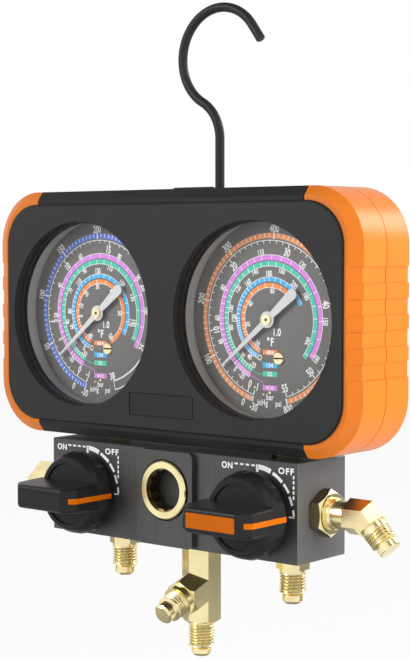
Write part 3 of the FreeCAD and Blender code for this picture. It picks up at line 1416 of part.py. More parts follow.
def make_gauge(name, side):
    x = f"{side}side_pitch / 2"
    lens_front = "lens_back + lens_thickness"

    bezel = new_body(f"{name}_gauge_bezel")
    place(bezel, x, "0", "housing_rise")
    turned_forward(bezel, [
        ("bezel_radius", "bezel_back"),
        ("bezel_radius", PLATE_BACK),
        ("bezel_inner + 0.15", PLATE_BACK),
        ("bezel_inner + 0.15", f"{lens_front} + 2.6"),
        ("bezel_inner - 0.5", f"{lens_front} + 2.2"),
        ("bezel_inner - 0.5", f"{lens_front} + 0.1"),
        ("lens_radius + 0.1", f"{lens_front} + 0.1"),
        ("lens_radius + 0.1", "lens_back"),
        ("case_radius + seat_gap", "lens_back"),
        ("case_radius + seat_gap", "bezel_back"),
    ])

    lens = new_body(f"{name}_gauge_lens")
    place(lens, x, "0", "housing_rise")
    turned_forward(lens, [("0", "lens_back"), ("lens_radius", "lens_back"),
                          ("lens_radius", lens_front), ("0", lens_front)])

    case = new_body(f"{name}_gauge_case")
    place(case, x, "0", "housing_rise")
    turned_forward(case, [
        ("0", "-case_back"),
        ("case_radius", "-case_back"),
        ("case_radius", "lens_back"),
        ("case_inner", "lens_back"),
        ("case_inner", DIAL_BACK),
        ("case_inner - 1", DIAL_BACK),
        ("case_inner - 1", "-case_back + case_floor"),
        ("0", "-case_back + case_floor"),
    ])
    sketch = sketch_on(case, "XY_Plane", "-case_radius - 1")
    circle(sketch, "gauge_tube_radius + 0.2", "0", "stem_back")
    pocket(case, sketch, "case_radius - case_inner + 5", reverse=True)

    dial = new_body(f"{name}_dial")
    place(dial, x, "0", "housing_rise")
    turned_forward(dial, [
        ("arbor_radius + 0.5", DIAL_BACK),
        ("dial_radius", DIAL_BACK),
        ("dial_radius", "dial_face"),
        ("arbor_radius + 0.5", "dial_face"),
    ])
    sketch = sketch_on(dial, "XZ_Plane", "dial_face")
    circle(sketch, "adjust_radius / 2", "adjust_x", "-adjust_drop")
    pocket(dial, sketch, "dial_thickness")
    keep(bezel, lens, case, dial)
    make_gauge_stem(name, x)
    make_tube_and_link(name, x)
    make_movement(name, x)


def make_adjusting_screws():
    """The slotted zero screw of each dial; both lie right of the dial's middle."""
    screws = []
    for index, side in enumerate(("-", "")):
        screw = new_body(f"adjusting_screw_{index + 1}")
        place(screw, f"{side}side_pitch / 2 + adjust_x", "0", "housing_rise - adjust_drop")
        turned_forward(screw, [
            ("0", "front_plate_back + front_plate_thickness + 0.1"),
            ("adjust_radius / 2 - 0.05", "front_plate_back + front_plate_thickness + 0.1"),
            ("adjust_radius / 2 - 0.05", "dial_face"),
            ("adjust_radius", "dial_face"),
            ("adjust_radius", "dial_face + adjust_rise - 0.2"),
            ("adjust_radius - 0.2", "dial_face + adjust_rise"),
            ("0", "dial_face + adjust_rise"),
        ])
        sketch = sketch_on(screw, "XZ_Plane", "dial_face + adjust_rise")
        rounded_box(sketch, "-adjust_radius - 1", "adjust_radius + 1", "-slot_width / 2",
                    "slot_width / 2", "0", "none")
        pocket(screw, sketch, "slot_depth")
        screws.append(screw)
    group = doc.addObject("Part::Compound", "adjusting_screws")
    group.Label = "adjusting_screws"
    group.Links = screws
    keep(group)


def make_gauge_stem(name, x):
    """Screwed stem from the block into the socket that carries the pressure tube."""
    stem = new_body(f"{name}_gauge_stem")
    place(stem, x, "-stem_back", BLOCK_TOP)
    socket_low = f"housing_rise - {BLOCK_TOP} - socket_bottom"
    turned_up(stem, [
        ("0", "-gauge_stem_engage"),
        ("gauge_stem_radius - 0.4", "-gauge_stem_engage"),
        ("gauge_stem_radius", "-gauge_stem_engage + 0.4"),
        ("gauge_stem_radius", "0"),
        ("gauge_tube_radius", "0"),
        ("gauge_tube_radius", socket_low),
        ("0", socket_low),
    ])
    sketch = sketch_on(stem, "XY_Plane")
    hexagon(sketch, "gauge_stem_flats")
    pad(stem, sketch, "gauge_stem_hex")
    sketch = sketch_on(stem, "XY_Plane", socket_low)
    rounded_box(sketch, "-socket_width / 2", "socket_width / 2", "-socket_depth / 2",
                "socket_depth / 2", "0", "none")
    pad(stem, sketch, "socket_bottom - socket_top")
    sketch = sketch_on(stem, "XY_Plane", "-gauge_stem_engage")
    circle(sketch, "1")
    pocket(stem, sketch, f"gauge_stem_engage + {socket_low} + 6", reverse=True)
    keep(stem)


def make_tube_and_link(name, x):
    """C-shaped pressure tube with its closed tip, and the link to the sector."""
    tube = new_body(f"{name}_pressure_tube")
    place(tube, x, "0", "housing_rise")
    sketch = sketch_on(tube, "XY_Plane")
    rounded_box(sketch, "tube_radius - tube_thin / 2", "tube_radius + tube_thin / 2",
                "stem_back - tube_wide / 2", "stem_back + tube_wide / 2", "0", "none")
    turn = 90 - number("tube_start")
    sketch.AttachmentOffset = Placement(Vector(0, 0, 0), Rotation(Vector(0, 1, 0), turn))
    bind(sketch, ".AttachmentOffset.Rotation.Angle", "90 - tube_start")
    turned = revolve(tube, sketch, "V_Axis", "tube_sweep")
    turned.Reversed = True
    sketch = sketch_on(tube, "XZ_Plane", "link_back - running_clearance")
    tip_angle = "tube_start + tube_sweep - 90"
    tip_x = f"tube_radius * cos({tip_angle})"
    tip_z = f"tube_radius * sin({tip_angle})"
    rounded_box(sketch, f"{tip_x} - 2", f"{tip_x} + 2.6", f"{tip_z} - 4", f"{tip_z} + 1.5", "0", "none")
    pad(tube, sketch, "link_back - running_clearance + stem_back + tube_wide / 2", reverse=True)

    link = new_body(f"{name}_link")
    place(link, x, "0", "housing_rise")
    tail_x = f"({MESH_DISTANCE} + tail_length) * cos(pivot_angle)"
    tail_z = f"({MESH_DISTANCE} + tail_length) * sin(pivot_angle)"
    end_x = f"{tip_x} + 1"
    end_z = f"{tip_z} - 2.5"
    length = f"sqrt(({end_x} - {tail_x})^2 + ({end_z} - ({tail_z}))^2)"
    slope_x = f"({end_x} - {tail_x}) / {length}"
    slope_z = f"({end_z} - ({tail_z})) / {length}"
    sketch = sketch_on(link, "XZ_Plane", "link_back")
    half = "0.6"
    outline(sketch, [
        (f"{tail_x} - {slope_z} * {half}", f"{tail_z} + {slope_x} * {half}"),
        (f"{end_x} - {slope_z} * {half}", f"{end_z} + {slope_x} * {half}"),
        (f"{end_x} + {slope_z} * {half}", f"{end_z} - {slope_x} * {half}"),
        (f"{tail_x} + {slope_z} * {half}", f"{tail_z} - {slope_x} * {half}"),
    ])
    pad(link, sketch, "link_thickness")
    for at_x, at_z in ((tail_x, tail_z), (end_x, end_z)):
        sketch = sketch_on(link, "XZ_Plane", "link_back")
        circle(sketch, "1.1", at_x, at_z)
        pad(link, sketch, "link_thickness")
    sketch = sketch_on(link, "XZ_Plane", "link_back")
    circle(sketch, "0.5", end_x, end_z)
    pocket(link, sketch, "link_thickness", reverse=True)
    sketch = sketch_on(link, "XZ_Plane", "link_back")
    circle(sketch, "link_pin_radius", tail_x, tail_z)
    pad(link, sketch, "gear_back + gear_thickness - link_back + 0.3")
    keep(tube, link)


# Movement: frame, sector gear, pinion and pointer

def make_movement(name, x):
    pivot_x = f"({MESH_DISTANCE}) * cos(pivot_angle)"
    pivot_z = f"({MESH_DISTANCE}) * sin(pivot_angle)"

    frame = new_body(f"{name}_movement_frame")
    place(frame, x, "0", "housing_rise")
    plates = (("rear_plate_back", "rear_plate_thickness", "-socket_bottom + 3"),
              ("front_plate_back", "front_plate_thickness", "-20"))
    posts = (("5", "4"), ("7", "-19"), ("-15", "-9"))
    sketch = sketch_on(frame, "XZ_Plane", "rear_plate_back + rear_plate_thickness")
    for post_x, post_z in posts:
        circle(sketch, "1.2", post_x, post_z)
    for start, thickness, foot in plates:
        plate = sketch_on(frame, "XZ_Plane", start)
        outline(plate, [
            ("-20", "-14"), ("-20", "-9"), ("-4", "6"), ("7", "6"), ("9", "-17"),
            ("5", foot), ("-5", foot), ("-14", "-20"),
        ])
        circle(plate, "arbor_radius + running_clearance")
        circle(plate, "pivot_radius + running_clearance", pivot_x, pivot_z)
        pad(frame, plate, thickness)
        if start == "rear_plate_back":
            pad(frame, sketch, "front_plate_back - rear_plate_back - rear_plate_thickness")

    sector = make_sector(name, x, pivot_x, pivot_z)
    pinion = make_pinion(name, x)
    pointer = make_pointer(name, x)
    keep(frame, sector, pinion, pointer)


def tooth_points(pitch_radius, teeth, first, last, addendum, dedendum, thickness, turn):
    """Corners of straight-sided teeth, centred on steps of the pitch angle plus a turn."""
    step = 2 * math.pi / teeth
    points = []
    for index in range(first, last + 1):
        middle = turn + index * step
        root = thickness / 2 + dedendum * math.tan(math.radians(20))
        tip = thickness / 2 - addendum * math.tan(math.radians(20))
        low = pitch_radius - dedendum
        high = pitch_radius + addendum
        for radius, half in ((low, root), (high, tip)):
            points.append((radius, middle - half / pitch_radius))
        for radius, half in ((high, tip), (low, root)):
            points.append((radius, middle + half / pitch_radius))
    return [Vector(r * math.cos(a), 0, r * math.sin(a)) for r, a in points]


def extruded(points, start, thickness, centre=Vector(0, 0, 0)):
    """A solid from a closed outline in the XZ plane, grown towards -Y."""
    shift = Vector(centre.x, -start, centre.z)
    wire = Part.makePolygon([p + shift for p in points] + [points[0] + shift])
    return Part.Face(wire).extrude(Vector(0, -thickness, 0))


def upright_disc(radius, start, length, x=0.0, z=0.0):
    return Part.makeCylinder(radius, length, Vector(x, -start, z), Vector(0, -1, 0))


def make_sector(name, x, pivot_x, pivot_z):
    """Toothed sector: it turns the pinion as the tube's tip moves."""
    module = number("tooth_module")
    ratio = number("sector_ratio")
    pinion_teeth = int(number("pinion_teeth"))
    teeth = int(pinion_teeth * ratio)
    pitch_radius = module * teeth / 2
    thickness = math.pi * module / 2 - number("mesh_backlash")
    towards = math.radians(number("pivot_angle") + 180)
    centre = Vector(number(pivot_x), 0, number(pivot_z))
    first, last = -8, 3
    rim = tooth_points(pitch_radius, teeth, first, last, 0.6 * module, 1.15 * module,
                       thickness, towards)
    arm = pitch_radius - 2.6
    step = 2 * math.pi / teeth
    low = towards + (first - 0.5) * step
    high = towards + (last + 0.5) * step
    inner = []
    for i in range(9):
        angle = high + (low - high) * i / 8
        inner.append(Vector(arm * math.cos(angle), 0, arm * math.sin(angle)))
    start = number("gear_back")
    thick = number("gear_thickness")
    solid = extruded(rim + inner, start, thick, centre)

    spread = math.radians(9)
    spokes = []
    for angle in (low, high):
        inward = spread if angle == low else -spread
        spokes.append([
            Vector((arm + 0.5) * math.cos(angle), 0, (arm + 0.5) * math.sin(angle)),
            Vector((arm + 0.5) * math.cos(angle + inward), 0, (arm + 0.5) * math.sin(angle + inward)),
            Vector(1.0 * math.cos(angle + inward + 1.2), 0, 1.0 * math.sin(angle + inward + 1.2)),
            Vector(1.0 * math.cos(angle - 1.2), 0, 1.0 * math.sin(angle - 1.2)),
        ])
    for spoke in spokes:
        solid = solid.fuse(extruded(spoke, start, thick, centre))
    solid = solid.fuse(upright_disc(2.4, start, thick, centre.x, centre.z))
    tail = number("tail_length")
    along = Vector(-math.cos(towards), 0, -math.sin(towards))
    across = Vector(-along.z, 0, along.x)
    tail_arm = [across * 1.3, along * tail + across * 1.1, along * tail - across * 1.1, across * -1.3]
    solid = solid.fuse(extruded(tail_arm, start, thick, centre))
    eye = centre + along * tail
    solid = solid.fuse(upright_disc(1.3, start, thick, eye.x, eye.z))
    eye_hole = number("link_pin_radius + running_clearance")
    solid = solid.cut(upright_disc(eye_hole, start - 1, thick + 2, eye.x, eye.z))
    pivot_end = number("front_plate_back + front_plate_thickness - 0.1")
    pivot_start = number("rear_plate_back + 0.1")
    solid = solid.fuse(upright_disc(number("pivot_radius"), pivot_start, pivot_end - pivot_start,
                                    centre.x, centre.z))
    return wrapped(f"{name}_sector_gear", solid.removeSplitter(), x)


def wrapped(name, shape, x):
    """A feature for a shape worked out in code, stood in the frame as the rest."""
    piece = doc.addObject("Part::Feature", name)
    piece.Label = name
    piece.Shape = shape
    place(piece, x, "0", "housing_rise")
    return piece


def make_pinion(name, x):
    """Pinion and arbor in one, with the brass cap that shows on the pointer."""
    module = number("tooth_module")
    teeth = int(number("pinion_teeth"))
    pitch_radius = module * teeth / 2
    thickness = math.pi * module / 2 - number("mesh_backlash")
    towards = math.radians(number("pivot_angle"))
    half_step = math.pi / teeth
    ring = tooth_points(pitch_radius, teeth, 0, teeth - 1, 0.9 * module, 0.95 * module,
                        thickness, towards + half_step)
    solid = extruded(ring, number("gear_back - 0.1"), number("gear_thickness + 0.2"))
    arbor_start = number("rear_plate_back - 0.6")
    arbor_end = number("pointer_back + pointer_thickness")
    solid = solid.fuse(upright_disc(number("arbor_radius"), arbor_start, arbor_end - arbor_start))
    cap = number("hub_cap_front") - arbor_end
    solid = solid.fuse(upright_disc(number("hub_cap_radius"), arbor_end, cap))
    return wrapped(f"{name}_pinion", solid.removeSplitter(), x)


def make_pointer(name, x):
    """Tapered pointer with a broad round tail, turned to the photographed reading."""
    body = new_body(f"{name}_pointer")
    body.Placement = Placement(Vector(0, 0, 0), Rotation(Vector(0, 1, 0), number("pointer_angle")))
    place(body, x, "0", "housing_rise")
    bind(body, ".Placement.Rotation.Angle", "pointer_angle")
    blades = [
        [("-0.35", "pointer_reach"), ("0.35", "pointer_reach"), ("1.3", "0"), ("-1.3", "0")],
        [("1.1", "0"), ("pointer_tail_radius", "-pointer_tail"),
         ("-pointer_tail_radius", "-pointer_tail"), ("-1.1", "0")],
    ]
    for corners in blades:
        sketch = sketch_on(body, "XZ_Plane", "pointer_back")
        outline(sketch, corners)
        pad(body, sketch, "pointer_thickness")
    for radius, z in (("pointer_tail_radius", "-pointer_tail"), ("pointer_hub_radius", "0")):
        sketch = sketch_on(body, "XZ_Plane", "pointer_back")
        circle(sketch, radius, "0", z)
        pad(body, sketch, "pointer_thickness")
    sketch = sketch_on(body, "XZ_Plane", "pointer_back")
    circle(sketch, "arbor_radius + 0.02")
    pocket(body, sketch, "pointer_thickness", reverse=True)
    return body


# Hook and bracket

def make_hook():
    """Bent wire: fold leg, rod, reverse bend, loop and straight tip."""
    body = new_body("hook_rod")
    place(body, up="hinge_rise", forward="-hook_back")
    path = sketch_on(body, "XZ_Plane")
    rod = number("rod_x")
    bend = number("wire_bend")
    neck = number("hook_neck_radius")
    loop = number("hook_loop_radius")
    loop_up = number("seat_rise + wire_radius - hook_loop_radius - hinge_rise")
    neck_x = rod - neck
    neck_up = loop_up - math.sqrt((loop + neck) ** 2 - neck_x ** 2)
    meet = math.atan2(loop_up - neck_up, -neck_x)
    tip = math.radians(number("hook_tip_angle"))
    heading = tip - math.pi / 2
    z_axis = Vector(0, 0, 1)

    def arc_of(centre, radius, start, end):
        return Part.ArcOfCircle(Part.Circle(centre, z_axis, radius), start, end)

    leg = path.addGeometry(Part.LineSegment(Vector(-number("barrel_wire_end"), 0, 0),
                                            Vector(rod - bend, 0, 0)), False)
    elbow = path.addGeometry(arc_of(Vector(rod - bend, bend, 0), bend, -math.pi / 2, 0), False)
    straight_rod = path.addGeometry(Part.LineSegment(Vector(rod, bend, 0),
                                                     Vector(rod, neck_up, 0)), False)
    reverse = path.addGeometry(arc_of(Vector(neck_x, neck_up, 0), neck, 0, meet), False)
    ring = path.addGeometry(arc_of(Vector(0, loop_up, 0), loop, tip, meet + math.pi), False)
    tip_start = Vector(loop * math.cos(tip), loop_up + loop * math.sin(tip), 0)
    tip_end = tip_start + Vector(math.cos(heading), math.sin(heading), 0) * number("hook_tip_length")
    end = path.addGeometry(Part.LineSegment(tip_start, tip_end), False)

    path.addConstraint(Sketcher.Constraint("Horizontal", leg))
    datum(path, "DistanceX", (-1, 1, leg, 1), "-barrel_wire_end")
    datum(path, "DistanceY", (-1, 1, leg, 1), "0")
    path.addConstraint(Sketcher.Constraint("Tangent", leg, 2, elbow, 1))
    datum(path, "Radius", (elbow,), "wire_bend")
    path.addConstraint(Sketcher.Constraint("Tangent", elbow, 2, straight_rod, 1))
    path.addConstraint(Sketcher.Constraint("Vertical", straight_rod))
    datum(path, "DistanceX", (-1, 1, straight_rod, 1), "rod_x")
    path.addConstraint(Sketcher.Constraint("Tangent", straight_rod, 2, reverse, 1))
    datum(path, "Radius", (reverse,), "hook_neck_radius")
    path.addConstraint(Sketcher.Constraint("Tangent", reverse, 2, ring, 2))
    datum(path, "Radius", (ring,), "hook_loop_radius")
    datum(path, "DistanceX", (-1, 1, ring, 3), "0")
    datum(path, "DistanceY", (-1, 1, ring, 3),
          "seat_rise + wire_radius - hook_loop_radius - hinge_rise")
    path.addConstraint(Sketcher.Constraint("Tangent", ring, 1, end, 1))
    datum(path, "DistanceX", (-1, 1, end, 1), "hook_loop_radius * cos(hook_tip_angle)")
    datum(path, "Distance", (end,), "hook_tip_length")

    section = sketch_on(body, "YZ_Plane", "-barrel_wire_end")
    circle(section, "wire_radius")
    doc.recompute()
    wire = body.newObject("PartDesign::AdditivePipe", "hook_wire")
    wire.Profile = section
    wire.Spine = (path, [f"Edge{i}" for i in range(1, 7)])
    doc.recompute()
    dress(body, "Chamfer", "0.4", lambda edge, at: at.sub(
        Vector(tip_end.x, 0, tip_end.y)).Length < number("wire_radius") + 0.3
        and not straight(edge) and edge.Length > number("wire_radius") * 6)
    keep(body)


def make_bracket():
    """Bracket on the back of the housing that carries the folding leg of the hook."""
    body = new_body("hook_bracket")
    place(body, up="hinge_rise", forward="-hook_back")
    sketch = sketch_on(body, "YZ_Plane", "-barrel_left")
    circle(sketch, "barrel_radius")
    pad(body, sketch, f"barrel_left - ({BRACKET_RIGHT})")
    sketch = sketch_on(body, "YZ_Plane", "-barrel_left")
    plate_back = "back_face - hook_back"
    outline(sketch, [
        (plate_back, "-bracket_height"),
        (f"{plate_back} + bracket_thickness", "-bracket_height"),
        (f"{plate_back} + bracket_thickness + 1.2", "-barrel_radius + 0.6"),
        (f"{plate_back} + bracket_thickness + 1.2", "0"),
        (f"{plate_back}", "0"),
    ])
    pad(body, sketch, f"barrel_left - ({BRACKET_RIGHT})")
    sketch = sketch_on(body, "YZ_Plane", "-barrel_left - 1")
    circle(sketch, "wire_radius + running_clearance")
    pocket(body, sketch, "barrel_left + 1", reverse=True)
    for x, z in bracket_screw_places():
        sketch = sketch_on(body, "XZ_Plane", "-(back_face - hook_back) + 1")
        circle(sketch, "bracket_screw_shank + 0.2", x, "-bracket_screw_drop")
        pocket(body, sketch, "bracket_thickness + 6")

    screws = []
    for index, (x, z) in enumerate(bracket_screw_places()):
        screw = new_body(f"bracket_screw_{index + 1}")
        place(screw, x, "0", "hinge_rise - bracket_screw_drop")
        seat = "-(back_face + bracket_thickness + 0.9)"
        turned_forward(screw, [
            ("0", f"{seat} - 1.4"),
            ("bracket_screw_head - 0.7", f"{seat} - 1.4"),
            ("bracket_screw_head", f"{seat} - 0.4"),
            ("bracket_screw_head", seat),
            ("bracket_screw_shank", seat),
            ("bracket_screw_shank", "-(back_face - shell_wall + 0.5)"),
            ("0", "-(back_face - shell_wall + 0.5)"),
        ])
        screws.append(screw)
    group = doc.addObject("Part::Compound", "bracket_screws")
    group.Label = "bracket_screws"
    group.Links = screws
    keep(body, group)


# Assembly

make_block()
make_sight_glass()
make_valve_seats()
make_gland_nuts()
for valve_name, valve_side in (("low", "-"), ("high", "")):
    make_valve(valve_name, valve_side)
    make_port_fitting(valve_name, valve_side)
make_centre_tee()
make_elbow_nuts()
make_elbow("right", False)
make_elbow("left", True)
make_front_shell()
make_rear_shell()
for shell_end in ("front", "rear"):
    make_bumper(shell_end, "left", "-")
    make_bumper(shell_end, "right", "")
make_shell_screws()
make_face_plate()
for gauge_name, gauge_side in (("low", "-"), ("high", "")):
    make_gauge(gauge_name, gauge_side)
make_adjusting_screws()
make_hook()
make_bracket()


# Check every object, then write one file for each piece

doc.recompute()
for item in doc.Objects:
    if "Invalid" in item.State or "Error" in item.State:
        raise RuntimeError(f"{item.Label} failed: {item.State}")
for piece in NODES:
    if piece.Shape.isNull() or not piece.Shape.isValid() or not piece.Shape.Solids:
        raise RuntimeError(f"{piece.Label} has no valid solid")

os.makedirs("parts", exist_ok=True)
for piece in NODES:
    piece.Shape.exportStep(f"parts/{piece.Label}.step")
    print(f"{piece.Label:24s} {len(piece.Shape.Solids)} solids {piece.Shape.Volume:10.1f} mm3")
print(len(NODES), "nodes")
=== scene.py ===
import json
import math

import bpy
import numpy as np
from bpy.props import FloatProperty, FloatVectorProperty, PointerProperty
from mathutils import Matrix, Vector


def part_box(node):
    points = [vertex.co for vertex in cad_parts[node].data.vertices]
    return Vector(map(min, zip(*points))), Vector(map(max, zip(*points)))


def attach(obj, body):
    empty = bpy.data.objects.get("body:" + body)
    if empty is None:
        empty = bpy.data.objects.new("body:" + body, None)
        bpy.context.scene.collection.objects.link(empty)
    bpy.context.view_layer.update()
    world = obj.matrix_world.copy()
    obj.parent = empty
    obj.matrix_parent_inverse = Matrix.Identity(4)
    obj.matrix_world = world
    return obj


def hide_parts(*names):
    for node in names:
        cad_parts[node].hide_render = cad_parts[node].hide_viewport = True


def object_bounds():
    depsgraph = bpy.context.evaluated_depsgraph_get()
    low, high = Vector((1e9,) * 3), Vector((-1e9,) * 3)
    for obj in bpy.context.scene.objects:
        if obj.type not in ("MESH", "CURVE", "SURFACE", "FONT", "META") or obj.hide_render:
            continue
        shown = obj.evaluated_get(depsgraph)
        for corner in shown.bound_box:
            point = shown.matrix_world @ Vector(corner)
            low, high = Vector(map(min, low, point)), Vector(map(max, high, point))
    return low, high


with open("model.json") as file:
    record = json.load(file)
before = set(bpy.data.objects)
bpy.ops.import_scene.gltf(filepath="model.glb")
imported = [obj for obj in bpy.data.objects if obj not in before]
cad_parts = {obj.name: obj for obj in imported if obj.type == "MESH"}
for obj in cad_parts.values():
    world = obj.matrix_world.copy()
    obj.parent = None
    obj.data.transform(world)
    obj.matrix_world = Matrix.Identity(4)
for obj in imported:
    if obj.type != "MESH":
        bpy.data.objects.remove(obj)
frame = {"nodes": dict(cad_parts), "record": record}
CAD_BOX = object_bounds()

bl_info = {
    "name": "Manifold gauge looks",
    "version": (1, 0, 0),
    "blender": (4, 5, 0),
    "location": "3D View > Sidebar > Manifold gauge",
    "description": "Finishes, printed dials, threads and stage of a two-valve manifold gauge",
    "category": "Object",
}

MM = 0.001
SIDES = ("low", "high")
FRAME_BODY = "gauge_frame"
# Attribute that says how much painted shade a brass surface gets, and the brown of full painted
# shade
PAINTED_SHADE = "recess"
PAINTED_SHADE_BROWN = (0.075, 0.048, 0.022)


# Places taken from the solids

def low_corner(node):
    return np.array(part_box(node)[0])


def high_corner(node):
    return np.array(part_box(node)[1])


def middle(node):
    return (low_corner(node) + high_corner(node)) / 2


# User settings

def colour(name, description, value):
    return FloatVectorProperty(name=name, description=description, default=value, size=3,
                               min=0.0, max=1.0, subtype="COLOR")


def length(name, description, millimetres):
    return FloatProperty(name=name, description=description, default=millimetres * MM,
                         min=0.0, unit="LENGTH", precision=5)


def amount(name, description, value, top=100.0):
    return FloatProperty(name=name, description=description, default=value, min=0.0, max=top)


class GaugeFinishes(bpy.types.PropertyGroup):
    block: colour("Block", "Anodised aluminium of the valve block", (0.066, 0.065, 0.064))
    brass: colour("Brass", "Machined yellow brass of ports and nuts", (0.98, 0.83, 0.46))
    pale_brass: colour("Pale brass", "Bright small brass pieces of the gauges", (0.92, 0.78, 0.47))
    housing: colour("Housing", "Dark moulded bars and rear shell", (0.016, 0.016, 0.016))
    plate: colour("Face plate", "Dark front plate round the windows", (0.021, 0.021, 0.021))
    bumper: colour("Bumper", "Orange rubbery edges", (0.65, 0.168, 0.016))
    knob: colour("Knob", "Black moulded valve knobs", (0.012, 0.012, 0.012))
    label: colour("High label", "Orange label and stripe of the knobs", (0.50, 0.110, 0.0))
    hook: colour("Hook", "Black coated wire and its bracket", (0.018, 0.018, 0.018))
    dial: colour("Dial", "Grey ground of the dials", (0.180, 0.175, 0.168))
    pointer: colour("Pointer", "Pale grey pointers", (0.72, 0.72, 0.72))
    ink: colour("White ink", "White print of dials and block", (1.0, 1.0, 0.99))


class GaugeInks(bpy.types.PropertyGroup):
    low_band: colour("Low band", "Pressure band of the low dial", (0.15, 0.27, 0.85))
    high_band: colour("High band", "Pressure band of the high dial", (1.0, 0.39, 0.15))
    first: colour("First ring", "Outermost temperature ring", (0.80, 0.28, 0.84))
    second: colour("Second ring", "Second temperature ring", (0.085, 0.66, 0.48))
    third: colour("Third ring", "Third temperature ring", (0.060, 0.50, 0.96))
    fourth: colour("Fourth ring", "Innermost temperature ring", (1.0, 0.31, 0.09))


class GaugeSizes(bpy.types.PropertyGroup):
    thread_pitch: length("Thread pitch", "Distance from crest to crest, 20 to the inch", 1.27)
    thread_depth: length("Thread depth", "Crest to root", 0.68)
    ink_lift: length("Ink lift", "Height of one layer of print over its ground", 0.04)
    outer_number: length("Outer numbers", "Height of the pressure numbers", 3.0)
    inner_number: length("Inner numbers", "Height of the temperature numbers", 2.25)
    word_height: length("Block words", "Height of the words on the block", 2.3)
    block_depth: length("Block depth", "Rear face to the face with the printed marks", 32.0)


class GaugeStage(bpy.types.PropertyGroup):
    floor_drop: length("Floor drop", "Floor below the lowest port", 160.0)
    key_power: amount("Key", "Power of the large lamp at the right", 21.0)
    front_power: amount("Front", "Power of the soft lamp in front", 15.0)
    top_power: amount("Top", "Power of the soft lamp above the right side", 1.5)
    rim_power: amount("Rim", "Power of the lamp behind, which edges the right side", 10.0)
    card_top: FloatProperty(name="Card top", description="Height of the grey cards' upper edge",
                            default=-0.16, unit="LENGTH")
    ambient: amount("Ambient", "Strength of the surrounding light", 0.46, 5.0)


# Materials

def fresh_material(name):
    material = bpy.data.materials.new(name)
    material.use_nodes = True
    shader = material.node_tree.nodes["Principled BSDF"]
    return material, material.node_tree, shader


def grain(tree, scale, stretch=(1, 1, 1), detail=3.0):
    """Noise on the object's own coordinates, stretched along one axis where asked."""
    place = tree.nodes.new("ShaderNodeTexCoord")
    mapping = tree.nodes.new("ShaderNodeMapping")
    mapping.inputs["Scale"].default_value = stretch
    noise = tree.nodes.new("ShaderNodeTexNoise")
    noise.inputs["Scale"].default_value = scale
    noise.inputs["Detail"].default_value = detail
    tree.links.new(place.outputs["Object"], mapping.inputs["Vector"])
    tree.links.new(mapping.outputs["Vector"], noise.inputs["Vector"])
    return noise.outputs["Fac"]


def span(tree, factor, low, high, start=0.3, end=0.7):
    """Spread a factor between two plain values."""
    spread = tree.nodes.new("ShaderNodeMapRange")
    spread.inputs["From Min"].default_value = start
    spread.inputs["From Max"].default_value = end
    spread.inputs["To Min"].default_value = low
    spread.inputs["To Max"].default_value = high
    tree.links.new(factor, spread.inputs["Value"])
    return spread.outputs["Result"]


def mix_colours(tree, factor, first, second):
    """Mix two colours, each of them a plain one or the output of a node."""
    mix = tree.nodes.new("ShaderNodeMix")
    mix.data_type = "RGBA"
    for socket, value in ((mix.inputs[6], first), (mix.inputs[7], second)):
        if isinstance(value, tuple):
            socket.default_value = (*value, 1)
        else:
            tree.links.new(value, socket)
    tree.links.new(factor, mix.inputs[0])
    return mix.outputs[2]


def bump(tree, shader, height, strength, distance):
    node = tree.nodes.new("ShaderNodeBump")
    node.inputs["Strength"].default_value = strength
    node.inputs["Distance"].default_value = distance
    tree.links.new(height, node.inputs["Height"])
    tree.links.new(node.outputs["Normal"], shader.inputs["Normal"])


def shade(base, factor):
    return tuple(min(1.0, c * factor) for c in base)


def uneven_colour(tree, noise, base, darkest, palest):
    """The base colour, shaded by noise between two factors."""
    return mix_colours(tree, span(tree, noise, 0.0, 1.0), shade(base, darkest), shade(base, palest))


def beyond(tree, reach):
    """One where the object's own X lies further out than a reach, on either side."""
    place = tree.nodes.new("ShaderNodeTexCoord")
    parts = tree.nodes.new("ShaderNodeSeparateXYZ")
    size = tree.nodes.new("ShaderNodeMath")
    size.operation = "ABSOLUTE"
    further = tree.nodes.new("ShaderNodeMath")
    further.operation = "GREATER_THAN"
    further.inputs[1].default_value = reach
    tree.links.new(place.outputs["Object"], parts.inputs[0])
    tree.links.new(parts.outputs["X"], size.inputs[0])
    tree.links.new(size.outputs[0], further.inputs[0])
    return further.outputs[0]


def moulded_plastic(name, base, rough=0.5, grain_size=0.35, depth=0.012, mottled=0.10, gloss=0.22):
    """Moulded plastic: fine spark-eroded grain and a slight mottling of its colour."""
    material, tree, shader = fresh_material(name)
    fine = grain(tree, 1.0 / (grain_size * MM), detail=2.0)
    broad = grain(tree, 45.0)
    tint = uneven_colour(tree, broad, base, 1 - mottled, 1 + mottled)
    tree.links.new(tint, shader.inputs["Base Color"])
    tree.links.new(span(tree, fine, rough - 0.07, rough + 0.07), shader.inputs["Roughness"])
    bump(tree, shader, fine, 0.35, depth * MM)
    shader.inputs["IOR"].default_value = 1.46
    shader.inputs["Specular IOR Level"].default_value = gloss
    return material


def turned_metal(name, base, rough):
    """Machined metal: fine tool marks, broad stains and a little uneven polish."""
    material, tree, shader = fresh_material(name)
    shader.inputs["Metallic"].default_value = 1.0
    fine = grain(tree, 1.0 / (0.25 * MM), detail=2.0)
    broad = grain(tree, 90.0, detail=4.0)
    tree.links.new(uneven_colour(tree, broad, base, 0.88, 1.06), shader.inputs["Base Color"])
    tree.links.new(span(tree, fine, rough - 0.05, rough + 0.08), shader.inputs["Roughness"])
    bump(tree, shader, fine, 0.2, 0.01 * MM)
    return material


